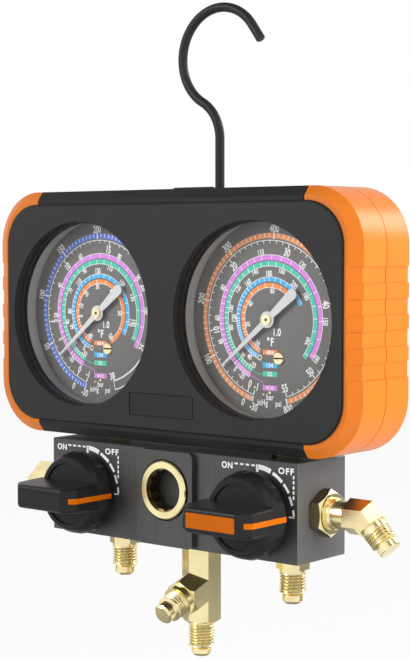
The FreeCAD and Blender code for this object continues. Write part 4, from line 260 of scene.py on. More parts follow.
def machined_brass(name, base, rough):
    """Turned brass with painted shade: made brown as far as its painted shade attribute asks, in
    thread roots, socket walls and nut flats.
    """
    material = turned_metal(name, base, rough)
    tree = material.node_tree
    shader = tree.nodes["Principled BSDF"]
    unshaded = shader.inputs["Base Color"].links[0].from_socket
    recess = tree.nodes.new("ShaderNodeAttribute")
    recess.attribute_name = PAINTED_SHADE
    tint = mix_colours(tree, recess.outputs["Fac"], unshaded, PAINTED_SHADE_BROWN)
    tree.links.new(tint, shader.inputs["Base Color"])
    return material


def anodised_block(name, base):
    """Dark anodised aluminium, brushed along its height, with painted light: its end faces are made
    paler.
    """
    material, tree, shader = fresh_material(name)
    shader.inputs["Metallic"].default_value = 0.5
    lines = grain(tree, 2600.0, (1, 1, 0.035))
    broad = grain(tree, 26.0)
    brushed = uneven_colour(tree, lines, base, 0.88, 1.16)
    # Painted light on the block's end faces, which are made 2.2 times paler than the rest
    painted_light_ends = beyond(tree, high_corner("manifold_block")[0] - 0.3 * MM)
    tint = mix_colours(tree, painted_light_ends, brushed, shade(base, 2.2))
    tree.links.new(tint, shader.inputs["Base Color"])
    tree.links.new(span(tree, broad, 0.36, 0.46), shader.inputs["Roughness"])
    bump(tree, shader, lines, 0.25, 0.01 * MM)
    return material


def clear_window(name, haze):
    """Clear window: nearly see-through face on, more mirror-like at a shallow angle."""
    material, tree, shader = fresh_material(name)
    shader.inputs["Base Color"].default_value = (0.5, 0.5, 0.5, 1)
    shader.inputs["Roughness"].default_value = 0.03
    facing = tree.nodes.new("ShaderNodeLayerWeight")
    facing.inputs["Blend"].default_value = 0.35
    solid = span(tree, facing.outputs["Facing"], haze, 0.16, 0.45, 1.0)
    tree.links.new(solid, shader.inputs["Alpha"])
    return material


def printed_ink(name, base):
    """Screen print: matt, with a faint unevenness."""
    material, tree, shader = fresh_material(name)
    uneven = grain(tree, 900.0, detail=2.0)
    tree.links.new(uneven_colour(tree, uneven, base, 0.94, 1.03), shader.inputs["Base Color"])
    shader.inputs["Roughness"].default_value = 0.55
    shader.inputs["Specular IOR Level"].default_value = 0.25
    return material


def finish(name, maker, *details, **more):
    """One material by name, made the first time it is asked for."""
    return bpy.data.materials.get(name) or maker(name, *details, **more)


def white_ink(finishes):
    return finish("ink white", printed_ink, finishes.ink)


def bright_brass(finishes):
    return finish("bright gauge brass", turned_metal, finishes.pale_brass, 0.28)


def both(piece):
    """The low and the high node of a piece."""
    return [f"{side}_{piece}" for side in SIDES]


def dress(material, *nodes):
    for node in nodes:
        mesh = frame["nodes"][node].data
        mesh.materials.clear()
        mesh.materials.append(material)


# Mesh building

def new_piece(name, points, faces, material, body):
    """A piece from an array of points and a list of face arrays, riding on one body."""
    mesh = bpy.data.meshes.new(name)
    mesh.from_pydata(points.tolist(), [], [face for group in faces for face in group.tolist()])
    mesh.validate()
    mesh.materials.append(material)
    piece = bpy.data.objects.new(name, mesh)
    bpy.context.scene.collection.objects.link(piece)
    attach(piece, body)
    return piece


def grid_faces(rows, columns, closed=False, looped=False):
    """Quads of a grid of points: closed wraps the columns and looped wraps the rows."""
    row = np.arange(rows if looped else rows - 1)[:, None]
    below = (row + 1) % rows
    column = np.arange(columns if closed else columns - 1)[None, :]
    following = (column + 1) % columns
    corners = [row * columns + column, row * columns + following,
               below * columns + following, below * columns + column]
    return np.stack([c.ravel() for c in np.broadcast_arrays(*corners)], 1)


def mark_recess(mesh, domain, values):
    """How much painted shade each point or face of brass gets, from 0 to 1."""
    recess = mesh.attributes.new(PAINTED_SHADE, "FLOAT", domain)
    recess.data.foreach_set("value", values.astype(np.float32))


def smooth_by_angle(mesh, degrees):
    mesh.shade_smooth()
    mesh.set_sharp_from_angle(angle=math.radians(degrees))


def triangles(mesh):
    """Points of a mesh and the corners of its triangles."""
    points = np.zeros(len(mesh.vertices) * 3)
    mesh.vertices.foreach_get("co", points)
    mesh.calc_loop_triangles()
    faces = np.zeros(len(mesh.loop_triangles) * 3, int)
    mesh.loop_triangles.foreach_get("vertices", faces)
    return points.reshape(-1, 3), faces.reshape(-1, 3)


# Print: degrees of one piece of an arc, and height and added weight of the letters

RING_SEGMENT = 1.5
CAPITAL = 0.70
BOLDER = 0.03
LETTERS = {}


class Print:
    """Flat print in a plane that faces -Y, in millimetres and degrees.

    X runs to the right, z upwards, and angles go clockwise from the top."""

    def __init__(self):
        self.points = []
        self.faces = []
        self.count = 0

    def add(self, points, faces):
        self.points.append(np.asarray(points, float))
        self.faces.append(np.asarray(faces) + self.count)
        self.count += len(points)

    def join(self, other, x, z):
        """Take over all of another print, moved."""
        self.points.append(np.concatenate(other.points) + np.array([x, z]))
        self.faces += [faces + self.count for faces in other.faces]
        self.count += other.count

    def ring(self, inner, outer, start, end):
        """Part of a flat ring: both radii swept over evenly spaced angles."""
        steps = max(2, int(abs(end - start) / RING_SEGMENT) + 1)
        angles = np.radians(np.linspace(start, end, steps))
        radii = np.array([[outer], [inner]])
        points = np.stack([radii * np.sin(angles), radii * np.cos(angles)], -1).reshape(-1, 2)
        self.add(points, grid_faces(2, steps)[:, ::-1])

    def tick(self, inner, outer, angle, width):
        """A straight radial mark of even width."""
        turn = math.radians(angle)
        out = np.array([math.sin(turn), math.cos(turn)])
        self.line(out * outer, out * inner, width)

    def line(self, start, end, width):
        start, end = np.array(start, float), np.array(end, float)
        along = (end - start) / np.linalg.norm(end - start)
        side = np.array([along[1], -along[0]]) * width / 2
        self.add([start + side, end + side, end - side, start - side], [[0, 1, 2, 3]])

    def box(self, left, right, bottom, top):
        self.add([(left, bottom), (right, bottom), (right, top), (left, top)], [[0, 1, 2, 3]])

    def words(self, text, height, x, z, squeeze=0.70, spacing=0.0, turn=0.0):
        """Letters scaled to a height, narrowed, turned clockwise and moved."""
        points, faces = letter_shapes(text, spacing)
        points = points * height * np.array([squeeze, 1.0])
        angle = math.radians(turn)
        c, s = math.cos(angle), math.sin(angle)
        turned = points @ np.array([[c, -s], [s, c]])
        self.add(turned + np.array([x, z]), faces)

    def number(self, text, height, radius, angle):
        """A number on a circle, its foot towards the bottom of the dial."""
        at = math.radians(angle)
        around = angle % 360
        turn = around if around <= 112 or around >= 248 else around - 180
        self.words(text, height, radius * math.sin(at), radius * math.cos(at), turn=turn)

    def build(self, name, centre, plane, material, body, slot):
        flat = np.concatenate(self.points) * MM
        depth = np.full(len(flat), plane)
        points = np.stack([flat[:, 0] + centre[0], depth, flat[:, 1] + centre[2]], 1)
        return new_piece(name, points, self.faces, material, body)


def letter_shapes(text, spacing):
    """Triangles of a text, one unit tall over its capitals and centred."""
    if (text, spacing) in LETTERS:
        return LETTERS[text, spacing]
    curve = bpy.data.curves.new("letters", "FONT")
    curve.body = text
    curve.size = 1.0
    curve.space_character = 1.0 + spacing
    curve.resolution_u = 3
    curve.offset = BOLDER
    holder = bpy.data.objects.new("letters", curve)
    points, faces = triangles(holder.to_mesh())
    holder.to_mesh_clear()
    bpy.data.objects.remove(holder)
    bpy.data.curves.remove(curve)
    points = points[:, :2]
    centre = np.array([(points[:, 0].min() + points[:, 0].max()) / 2, CAPITAL / 2])
    LETTERS[text, spacing] = ((points - centre) / CAPITAL, faces)
    return LETTERS[text, spacing]


# Dial scales: angles of zero and of each number, degrees for one psi, small shifts of three numbers

BAR = 14.504
VACUUM = 14.7
DIALS = {
    "low": {
        "zero": 206.3,
        "per_psi": 0.7555,
        "end_psi": 362.0,
        "psi_step": 5,
        "psi_numbers": (50, 100, 150, 200, 250, 300, 350),
        "vacuum_marks": 3,
        "bar_step": 0.5,
        "bar_numbers": (0, 5, 10, 15, 20, 25),
        "end_bar": 25.0,
        "shifts": {"0": 0.0, "-30": -0.2, "-1": 0.6},
        "rings": (
            (204.0, 485.0, {-30: 219.8, 0: 243.0, 20: 266.2, 40: 295.3, 60: 334.4, 80: 385.2,
                            90: 414.8, 100: 446.6}),
            (204.0, 480.5, {-50: 207.4, 10: 228.0, 40: 257.0, 70: 297.7, 90: 333.0, 110: 377.3,
                            130: 429.7, 140: 461.1}),
            (204.0, 482.9, {0: 211.5, 60: 248.8, 80: 270.9, 110: 316.4, 130: 356.3, 150: 404.9,
                            170: 462.0}),
            (204.5, 513.4, {-40: 211.3, 0: 261.6, 10: 284.5, 20: 315.0, 30: 352.1, 40: 395.8,
                            50: 449.0, 60: 508.0}),
        ),
    },
    "high": {
        "zero": 201.0,
        "per_psi": 0.4057,
        "end_psi": 800.0,
        "psi_step": 10,
        "psi_numbers": (100, 200, 300, 400, 500, 600, 700, 800),
        "vacuum_marks": 2,
        "bar_step": 1,
        "bar_numbers": (0, 10, 20, 30, 40, 50, 55),
        "end_bar": 55.0,
        "shifts": {"0": 1.0, "-30": -2.0, "-1": -0.6},
        "rings": (
            (203.8, 486.2, {-20: 211.6, 0: 220.5, 40: 248.6, 60: 269.6, 80: 297.1, 110: 350.2,
                            130: 396.2, 150: 450.2, 160: 483.0}),
            (203.8, 490.8, {-20: 204.9, 30: 223.3, 80: 259.1, 100: 281.0, 120: 306.4, 140: 338.4,
                            160: 377.2, 180: 422.0, 200: 473.4}),
            (202.7, 428.6, {40: 214.0, 120: 270.2, 160: 322.8, 180: 358.4, 200: 400.5}),
            (202.0, 399.1, {-20: 214.4, 20: 258.5, 40: 301.3, 60: 366.0}),
        ),
    },
}


# Radii and places on both dials

BAND = (32.3, 34.4)
BAND_TICK = (32.75, 34.4)
BAND_MAIN_TICK = (32.0, 34.75)
BAND_NUMBERS = 36.25
BAR_LINE = (31.32, 31.66)
BAR_TICK_TOP = 31.5
BAR_TICK_FEET = (29.6, 30.2, 30.6)
BAR_NUMBERS = 27.95
BEYOND_SCALE = (124.0, 165.0)
RINGS = {
    "first": {"band": (23.65, 25.75), "edge": 25.75, "numbers": 27.1, "tag": (26.3, 28.4, "410"),
              "leaders": (((-10.0, -22.7), (-3.6, -25.1)), ((-3.5, -25.0), (-3.5, -26.4)))},
    "second": {"band": (21.25, 23.25), "edge": 21.25, "numbers": 20.3, "tag": (20.75, 22.85, "22"),
               "leaders": (((-8.8, -20.6), (-6.0, -21.9)), ((-6.05, -21.87), (-3.4, -22.1)))},
    "third": {"band": (15.15, 16.95), "edge": 16.95, "numbers": 18.35,
              "tag": (17.25, 19.35, "134"), "leaders": (((-6.2, -15.2), (-3.45, -17.6)),)},
    "fourth": {"band": (12.75, 14.6), "edge": 12.75, "numbers": 11.6,
               "tag": (12.15, 14.15, "404"), "leaders": ()},
}
RING_STEP = 5
CROWDED = 0.9
TAG_REACH = 3.6
DIAL_WORDS = (("inHg", 2.4, -3.6, -33.3, 0.78, 0.06), ("psi", 2.4, 4.3, -33.3, 0.78, 0.06),
              ("bar", 2.3, 0.1, -31.0, 0.80, 0.06), ("°F", 3.2, 0.2, -8.9, 0.78, 0.2),
              ("1.0", 2.9, 3.6, -4.9, 0.80, 0.06))
STUDS = ((-5.2, -15.35, 0.75, 1.15), (-0.1, -29.2, 0.02, 0.55), (-3.2, -30.1, 0.02, 0.4))
ZERO_SLOT = (2.05, 6.95, -15.75, -15.05)


def ring_ticks(numbers, start, end, radius):
    """Angles of every step of a temperature ring, read between its numbers.

    Every second one is left out where they would crowd each other."""
    values = np.array(sorted(numbers))
    angles = np.array([numbers[v] for v in values])
    fine = np.arange(values[0] - 40, values[-1] + 40, RING_STEP)
    spread = np.interp(fine, values, angles)
    low = fine < values[0]
    high = fine > values[-1]
    slope_low = (angles[1] - angles[0]) / (values[1] - values[0])
    slope_high = (angles[-1] - angles[-2]) / (values[-1] - values[-2])
    spread[low] = angles[0] + (fine[low] - values[0]) * slope_low
    spread[high] = angles[-1] + (fine[high] - values[-1]) * slope_high
    crowded = np.radians(np.gradient(spread)) * radius < CROWDED
    shown = ~crowded | (fine % (2 * RING_STEP) == 0)
    return [a for a in spread[shown] if start + 1 < a < end - 1]


def pressure_band(white, scale, start, height):
    """The coloured band, the marks of its steps and of the vacuum, and its numbers."""
    zero, per_psi = scale["zero"], scale["per_psi"]
    band = Print()
    band.ring(*BAND, start - 0.6, zero + scale["end_psi"] * per_psi + 0.6)
    for psi in np.arange(0, scale["end_psi"] + 1, scale["psi_step"]):
        reach, width = BAND_TICK, 0.38
        if psi in scale["psi_numbers"]:
            reach, width = BAND_MAIN_TICK, 0.7
        white.tick(*reach, zero + psi * per_psi, width)
    for angle in np.linspace(start, zero, scale["vacuum_marks"] + 2)[1:-1]:
        white.tick(*BAND_TICK, angle, 0.34)
    white.tick(32.0, 34.6, start, 0.5)
    for psi in scale["psi_numbers"]:
        white.number(str(psi), height, BAND_NUMBERS, zero + psi * per_psi)
    white.number("0", height, BAND_NUMBERS, zero + scale["shifts"]["0"])
    white.number("-30", height, BAND_NUMBERS, start + scale["shifts"]["-30"])
    return band


def bar_scale(white, scale, start, height):
    """The thin line with its marks, longer at a whole bar and at a number."""
    zero, per_bar = scale["zero"], scale["per_psi"] * BAR
    white.ring(*BAR_LINE, start, zero + scale["end_bar"] * per_bar)
    for bar in np.arange(0, scale["end_bar"] + 0.01, scale["bar_step"]):
        foot, width = BAR_TICK_FEET[1 if bar % 1 == 0 else 2], 0.34
        if bar in scale["bar_numbers"]:
            foot, width = BAR_TICK_FEET[0], 0.5
        white.tick(foot, BAR_TICK_TOP, zero + bar * per_bar, width)
    white.tick(BAR_TICK_FEET[0], BAR_TICK_TOP, start, 0.5)
    for bar in scale["bar_numbers"]:
        white.number(str(bar), height, BAR_NUMBERS, zero + bar * per_bar)
    white.number("-1", height, BAR_NUMBERS, start + scale["shifts"]["-1"])


def beyond_scale(white, height):
    """The empty frame past the end of the low dial's scale, with its number."""
    start, end = BEYOND_SCALE
    white.number("38", height, BAR_NUMBERS, end + 0.3)
    white.ring(29.8, 30.45, start, end)
    white.ring(33.7, 34.2, start, end)
    white.tick(29.85, 34.1, end, 0.35)
    white.tick(29.85, 34.1, start, 0.35)


def temperature_ring(white, look, ring, height):
    """One coloured ring with its tag and the thin leaders between them."""
    start, end, numbers = ring
    inner, outer = look["band"]
    top, bottom, code = look["tag"]
    patch = Print()
    patch.ring(inner, outer, start, end)
    patch.box(-TAG_REACH, TAG_REACH, -bottom, -top)
    for leader in look["leaders"]:
        patch.line(*leader, 0.3)
    white.ring(look["edge"] - 0.12, look["edge"] + 0.12, start, end)
    for angle in ring_ticks(numbers, start, end, inner):
        white.tick(inner + 0.15, outer - 0.15, angle, 0.30)
    for value, angle in numbers.items():
        white.number(str(value), height, look["numbers"], angle)
    white.words(code, 1.6, 0, -(top + bottom) / 2, 1.0, 0.1)
    return patch


def print_dial(side, settings):
    """All the print of one dial: the coloured layer on its ground, then the white one."""
    scale, sizes = DIALS[side], settings.manifold_sizes
    inks, finishes = settings.manifold_inks, settings.manifold_finishes
    centre, face = middle(f"{side}_dial"), low_corner(f"{side}_dial")[1]
    start = scale["zero"] - VACUUM * scale["per_psi"]
    outer, inner = sizes.outer_number / MM, sizes.inner_number / MM
    white = Print()
    band = pressure_band(white, scale, start, outer)
    colours = [("band", f"ink band {side}", band, getattr(inks, f"{side}_band"))]
    bar_scale(white, scale, start, outer * 1.03)
    if side == "low":
        beyond_scale(white, outer)
    for (name, look), ring in zip(RINGS.items(), scale["rings"]):
        patch = temperature_ring(white, look, ring, inner)
        colours.append((name, f"ink {name} ring", patch, getattr(inks, name)))
    for word in DIAL_WORDS:
        white.words(*word)
    for name, ink, patch, tint in colours:
        patch.build(f"{side}_dial_print_{name}", centre, face - sizes.ink_lift,
                    finish(ink, printed_ink, tint), FRAME_BODY, "dial_grey")
    white.build(f"{side}_dial_print_white", centre, face - 2 * sizes.ink_lift,
                white_ink(finishes), FRAME_BODY, "dial_grey")
    dial_studs(side, centre, face, sizes, finishes)


def dial_studs(side, centre, face, sizes, finishes):
    """Small brass eyelet and rivets on the dial, and two dark places.

    These are painted shade on the floor of the zero screw's slot and a dark dot at the centre of
    the pointer's cap."""
    studs = Print()
    for x, z, inner, outer in STUDS:
        stud = Print()
        stud.ring(inner, outer, 0, 360)
        studs.join(stud, x, z)
    studs.build(f"{side}_dial_studs", centre, face - 3 * sizes.ink_lift,
                bright_brass(finishes), FRAME_BODY, "gauge_brass")
    dark = finish("dark slot", moulded_plastic, (0.012, 0.010, 0.008), 0.8)
    # Painted shade: a dark sheet on the floor of the zero screw's slot
    slot = Print()
    slot.box(*ZERO_SLOT)
    slot.build(f"{side}_zero_slot_floor", centre, face - 0.12 * MM, dark, FRAME_BODY, "gauge_brass")
    hub = Print()
    hub.ring(0.02, 0.62, 0, 360)
    hub.build(f"{side}_pointer_centre", centre, low_corner(f"{side}_pinion")[1] - 0.02 * MM,
              dark, f"{side}_pointer", "gauge_brass")


# Brass fittings with real threads

THREADED = {
    "low_port_fitting": ("low_side_port",),
    "high_port_fitting": ("high_side_port",),
    "centre_tee": ("centre_port", "branch_port"),
    "left_hose_elbow": ("left_elbow_port",),
    "right_hose_elbow": ("right_elbow_port",),
}
THREAD_SIDES = 72
ROWS_PER_PITCH = 14
# Painted shade at the very root of a thread
ROOT_PAINTED_SHADE = 0.48
MERGE_STEP = 1e-6


def flare_mounts():
    """Thread seats of the part's record: point, direction, radius and length in metres."""
    seats = {}
    for mount in frame["record"]["mounts"]:
        if mount["kind"] == "pin":
            axis = np.array(mount["axis"], float)
            seats[mount["name"]] = (np.array(mount["pos_m"], float), axis / np.linalg.norm(axis),
                                    mount["dims"]["r_mm"] * MM, mount["dims"]["length_mm"] * MM)
    return seats


def thread_surface(seat, sizes):
    """One thread: radius falls from crest to root by a flattened wave of height less turn,
    and the wave fades out over one pitch at both ends."""
    point, axis, radius, reach = seat
    pitch, depth = sizes.thread_pitch, sizes.thread_depth
    rows = max(12, int(reach / pitch * ROWS_PER_PITCH))
    along = np.linspace(-reach / 2, reach / 2, rows)[:, None]
    angle = np.linspace(0, 2 * math.pi, THREAD_SIDES, endpoint=False)[None, :]
    phase = (along / pitch - angle / (2 * math.pi)) % 1.0
    wave = np.clip((1 - np.abs(2 * phase - 1)) * 1.35 - 0.15, 0, 1)
    edge = np.minimum(along + reach / 2, reach / 2 - along) / (pitch * 0.9)
    wave = wave * np.clip(edge, 0, 1)
    away = (radius - depth * wave)[..., None]
    side = np.cross(axis, [0.0, 1.0, 0.0] if abs(axis[1]) < 0.9 else [1.0, 0.0, 0.0])
    side = side / np.linalg.norm(side)
    other = np.cross(axis, side)
    points = (point + along[..., None] * axis + away * np.cos(angle)[..., None] * side
              + away * np.sin(angle)[..., None] * other)
    return points.reshape(-1, 3), grid_faces(rows, THREAD_SIDES, closed=True), wave.ravel()


def merged_mesh(node):
    """Points and triangles of a node, with points that coincide merged into one."""
    points, faces = triangles(frame["nodes"][node].data)
    places = np.round(points / MERGE_STEP)
    _, first, merged = np.unique(places, axis=0, return_index=True, return_inverse=True)
    faces = merged.reshape(-1)[faces]
    real = (faces != np.roll(faces, 1, axis=1)).all(axis=1)
    return points[first], faces[real]


def threaded_fitting(node, seats, sizes, material):
    """A copy of a fitting whose plain thread walls give way to cut threads.

    A wall's triangle is left out where all its corners lie on the thread's cylinder."""
    points, walls = merged_mesh(node)
    kept = np.ones(len(walls), bool)
    for point, axis, radius, reach in seats:
        spots = points - point
        along = spots @ axis
        away = np.linalg.norm(spots - np.outer(along, axis), axis=1)
        on_wall = np.abs(away - radius) < 0.03 * MM
        on_thread = on_wall & (np.abs(along) < reach / 2 + 0.05 * MM)
        kept &= ~on_thread[walls].all(axis=1)
    faces = [walls[kept]]
    # Painted shade in the thread roots, deeper as the wave nears the root; none on the rest of the
    # fitting
    painted_root_shade = np.zeros(len(points))
    for seat in seats:
        more, quads, depths = thread_surface(seat, sizes)
        faces.append(quads + len(points))
        points = np.concatenate([points, more])
        painted_root_shade = np.concatenate([painted_root_shade, depths ** 2 * ROOT_PAINTED_SHADE])
    piece = new_piece(f"{node}_threaded", points, faces, material, FRAME_BODY)
    mark_recess(piece.data, "POINT", painted_root_shade)
    smooth_by_angle(piece.data, 30)
    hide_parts(node)


def smooth_copy(node, material):
    """A smoothly shaded copy of a brass node with merged points, and its triangles' corners."""
    points, faces = merged_mesh(node)
    piece = new_piece(f"{node}_smooth", points, [faces], material, FRAME_BODY)
    smooth_by_angle(piece.data, 20)
    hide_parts(node)
    return piece, points[faces]


# Camera fitted to the photograph, and lamps: place from the middle of the gauge, and size

LENS = 89.79
CAMERA_PLACE = np.array([443.05, -544.75, -96.15]) * MM
CAMERA_TURN = (90 - 3.133, 0.015, 39.664)
AIM = np.array([0.0, 0.0, -0.14])
LAMPS = {
    "key": (np.array([1.30, 0.05, 0.30]), 0.9),
    "front": (np.array([-0.75, -1.3, 0.6]), 0.7),
    "top": (np.array([0.75, -0.05, 0.95]), 0.5),
    "rim": (np.array([0.66, 1.24, 0.68]), 0.55),
}
FLOOR_REACH = 6.0
WHITE = (1, 1, 1, 1)


# Operators

# Arcs round a knob: inner and outer radius, start and end
KNOB_ARCS = ((17.75, 19.7, 2.0, 22.3), (17.95, 19.3, 25.6, 43.0), (18.1, 19.2, 46.0, 58.8),
             (17.7, 18.8, 63.0, 74.5), (17.9, 18.9, 80.0, 89.6))


class ManifoldOperator:
    bl_options = {"REGISTER", "UNDO"}


class MANIFOLD_OT_block(ManifoldOperator, bpy.types.Operator):
    """Finish the valve block, its seals and the marks round both knobs"""
    bl_idname = "manifold.block"
    bl_label = "Block and printed marks"

    def execute(self, context):
        finishes = context.scene.manifold_finishes
        sizes = context.scene.manifold_sizes
        dress(finish("anodised block", anodised_block, finishes.block), "manifold_block")
        seal = finish("white seal", moulded_plastic, (0.78, 0.77, 0.74), 0.5)
        dress(seal, "valve_seats", "stem_packings")
        dress(finish("black seal", moulded_plastic, (0.03, 0.03, 0.03), 0.65), "sight_glass_seal")
        marks = Print()
        level = middle("manifold_block")[2]
        for side in SIDES:
            x, _, z = middle(f"{side}_valve_stem")
            marks.join(self.signs(sizes.word_height / MM), x / MM, 0)
            marks.join(self.arc(), x / MM, (z - level) / MM)
        front = high_corner("manifold_block")[1] - sizes.block_depth
        marks.build("block_printed_marks", (0, 0, level), front - sizes.ink_lift,
                    white_ink(finishes), FRAME_BODY, "anodised_block")
        return {"FINISHED"}

    def signs(self, height):
        """Open and shut words with their dashed lines, placed from the valve's axis."""
        signs = Print()
        signs.words("ON", height * 1.08, -14.9, 16.5, 1.0, 0.08)
        signs.words("OFF", height * 1.05, 14.65, 16.55, 1.12, 0.22)
        for index in range(4):
            left = -11.1 + 2.85 * index
            signs.box(left, left + 1.75, 17.1, 17.8)
        signs.box(-0.2, 1.0, 14.6, 18.0)
        for index in range(5):
            top = 15.0 - 2.0 * index
            signs.box(17.95, 18.65, top - 1.3, top)
        return signs

    def arc(self):
        """Five parts of an arc round the knob that widens towards open."""
        arc = Print()
        for part in KNOB_ARCS:
            arc.ring(*part)
        arc.tick(15.9, 18.9, 89.2, 0.6)
        return arc


class MANIFOLD_OT_fittings(ManifoldOperator, bpy.types.Operator):
    """Cut real threads on every brass flare end and finish nuts, ring and stems"""
    bl_idname = "manifold.fittings"
    bl_label = "Brass fittings"

    def execute(self, context):
        finishes = context.scene.manifold_finishes
        brass = finish("machined brass", machined_brass, finishes.brass, 0.22)
        seats = flare_mounts()
        for node, ports in THREADED.items():
            cut = [seats[port] for port in ports]
            threaded_fitting(node, cut, context.scene.manifold_sizes, brass)
        dress(brass, "gland_nuts", *both("gauge_stem"))
        self.sight_ring(brass)
        self.nut_flats(brass)
        dress(finish("sight window", clear_window, 0.10), "sight_glass_window")
        return {"FINISHED"}

    def sight_ring(self, brass):
        """The screwed ring, with painted shade on the walls of its drive socket.

        A triangle belongs to the socket where its middle lies behind the ring's front face
        and nearer to the axis than the outer wall."""
        piece, corners = smooth_copy("sight_glass_ring", brass)
        spots = corners.mean(axis=1) - middle("sight_glass_ring")
        inside = np.hypot(spots[:, 0], spots[:, 2]) < 10.5 * MM
        behind = corners[..., 1].max(axis=1) > low_corner("sight_glass_ring")[1] + 0.3 * MM
        mark_recess(piece.data, "FACE", 0.85 * (behind & inside))

    def nut_flats(self, brass):
        """The elbow nuts with painted shade on their flats: a triangle gets painted shade where its
        normal stands across the nut's axis, and a little more the further that normal turns up or
        down."""
        piece, corners = smooth_copy("elbow_nuts", brass)
        first, second, third = corners.transpose(1, 0, 2)
        normal = np.cross(second - first, third - first)
        normal = normal / np.linalg.norm(normal, axis=1)[:, None]
        flat = np.abs(normal[:, 0]) < 0.1
        mark_recess(piece.data, "FACE", flat * (0.68 + 0.18 * np.abs(normal[:, 2])))


class MANIFOLD_OT_housing(ManifoldOperator, bpy.types.Operator):
    """Finish the housing shells, orange edges, face plate and screws"""
    bl_idname = "manifold.housing"
    bl_label = "Housing"

    def execute(self, context):
        finishes = context.scene.manifold_finishes
        shell = finish("dark shell", moulded_plastic, finishes.housing, 0.5, 0.5, 0.02, gloss=0.16)
        dress(shell, "front_shell", "rear_shell")
        edge = finish("orange edge", moulded_plastic, finishes.bumper, 0.36, 0.4, 0.012, 0.04)
        dress(edge, "front_left_bumper", "front_right_bumper", "rear_left_bumper",
              "rear_right_bumper")
        plate = finish("dark plate", moulded_plastic, finishes.plate, 0.5, 0.25, 0.008, 0.05, 0.18)
        dress(plate, "face_plate")
        badge = shade(finishes.plate, 0.85)
        dress(finish("plain badge", moulded_plastic, badge, 0.3, 0.3, 0.004), "blank_badge")
        screw = finish("plated screw", turned_metal, (0.50, 0.50, 0.51), 0.3)
        dress(screw, "shell_screws", "bracket_screws", *both("knob_screw"))
        self.plate_seal()
        return {"FINISHED"}

    def plate_seal(self):
        """Dark round bead in the corner between the face plate and the orange rim, put there as
        painted shade of the gap.

        A small circle is carried along a rectangle with rounded corners: a corner's angle
        turns with the path, and the straight runs come from the steps between the corners."""
        low, high = low_corner("face_plate"), high_corner("face_plate")
        centre = (low + high) / 2
        half = (high - low) / 2
        corner, bead, rim_depth = 17.0 * MM, 0.38 * MM, 2.05 * MM
        steps, sides = 24, 12
        angle = np.linspace(0, math.pi / 2, steps)[None, :] + np.arange(4)[:, None] * math.pi / 2
        angle = angle.ravel()
        signs = np.array([[1, 1], [-1, 1], [-1, -1], [1, -1]]).repeat(steps, axis=0)
        out = np.stack([np.cos(angle), np.sin(angle)], 1)
        path = signs * (np.array([half[0], half[2]]) - corner) + out * corner
        around = np.linspace(0, 2 * math.pi, sides, endpoint=False)
        across = path[:, None, :] + out[:, None, :] * (bead * np.cos(around))[None, :, None]
        depth = np.broadcast_to(high[1] - rim_depth - bead * np.sin(around), across.shape[:2])
        points = np.stack([centre[0] + across[..., 0], depth, centre[2] + across[..., 1]], -1)
        faces = grid_faces(len(path), sides, closed=True, looped=True)
        # Painted shade of the gap: a near-black bead
        gap_shade = finish("seal rubber", moulded_plastic, (0.006, 0.006, 0.006), 0.7)
        piece = new_piece("face_plate_seal", points.reshape(-1, 3), [faces], gap_shade, FRAME_BODY)
        smooth_by_angle(piece.data, 60)


class MANIFOLD_OT_gauges(ManifoldOperator, bpy.types.Operator):
    """Print both dials and finish windows, cases, pointers and movements"""
    bl_idname = "manifold.gauges"
    bl_label = "Gauges"

    def execute(self, context):
        finishes = context.scene.manifold_finishes
        ground = finish("dial ground", moulded_plastic, finishes.dial, 0.5, 0.3, 0.004, 0.03)
        dress(ground, *both("dial"))
        pale = shade(finishes.dial, 2.2)
        dress(finish("gauge case", moulded_plastic, pale, 0.35, 0.3, 0.004), *both("gauge_case"))
        bezel = finish("black bezel", moulded_plastic, (0.014, 0.014, 0.014), 0.3, 0.4, 0.006)
        dress(bezel, *both("gauge_bezel"))
        dress(finish("gauge window", clear_window, 0.02), *both("gauge_lens"))
        pointer = finish("pale pointer", moulded_plastic, finishes.pointer, 0.4, 0.3, 0.003, 0.03)
        dress(pointer, *both("pointer"))
        dress(bright_brass(finishes), "adjusting_screws", *both("pinion"))
        stamped = finish("stamped brass", turned_metal, finishes.brass, 0.3)
        dress(stamped, *both("movement_frame"), *both("sector_gear"), *both("link"))
        bronze = finish("drawn bronze", turned_metal, (0.62, 0.38, 0.20), 0.3)
        dress(bronze, *both("pressure_tube"))
        for side in SIDES:
            print_dial(side, context.scene)
        return {"FINISHED"}


class MANIFOLD_OT_knobs(ManifoldOperator, bpy.types.Operator):
    """Finish knobs, labels, stripes and the valve insides"""
    bl_idname = "manifold.knobs"
    bl_label = "Knobs"

    def execute(self, context):
        finishes = context.scene.manifold_finishes
        knob = finish("black knob", moulded_plastic, finishes.knob, 0.38, 0.35, 0.012)
        dress(knob, *both("knob"))
        plain = finish("black label", moulded_plastic, (0.012, 0.012, 0.012), 0.3, 0.4, 0.004)
        dress(plain, "low_knob_label")
        orange = finish("orange label", moulded_plastic, finishes.label, 0.45, 0.4, 0.004, 0.04,
                        0.12)
        dress(orange, "high_knob_label", *both("knob_stripe"))
        dress(finish("turned steel", turned_metal, (0.55, 0.55, 0.55), 0.25), *both("valve_stem"))
        dress(finish("polished ball", turned_metal, (0.75, 0.75, 0.76), 0.08), *both("valve_ball"))
        return {"FINISHED"}


class MANIFOLD_OT_hook(ManifoldOperator, bpy.types.Operator):
    """Finish the wire hook and its bracket"""
    bl_idname = "manifold.hook"
    bl_label = "Hook"

    def execute(self, context):
        finishes = context.scene.manifold_finishes
        coat = finish("black coating", moulded_plastic, finishes.hook, 0.42, 0.8, 0.006, gloss=0.18)
        dress(coat, "hook_rod", "hook_bracket")
        return {"FINISHED"}


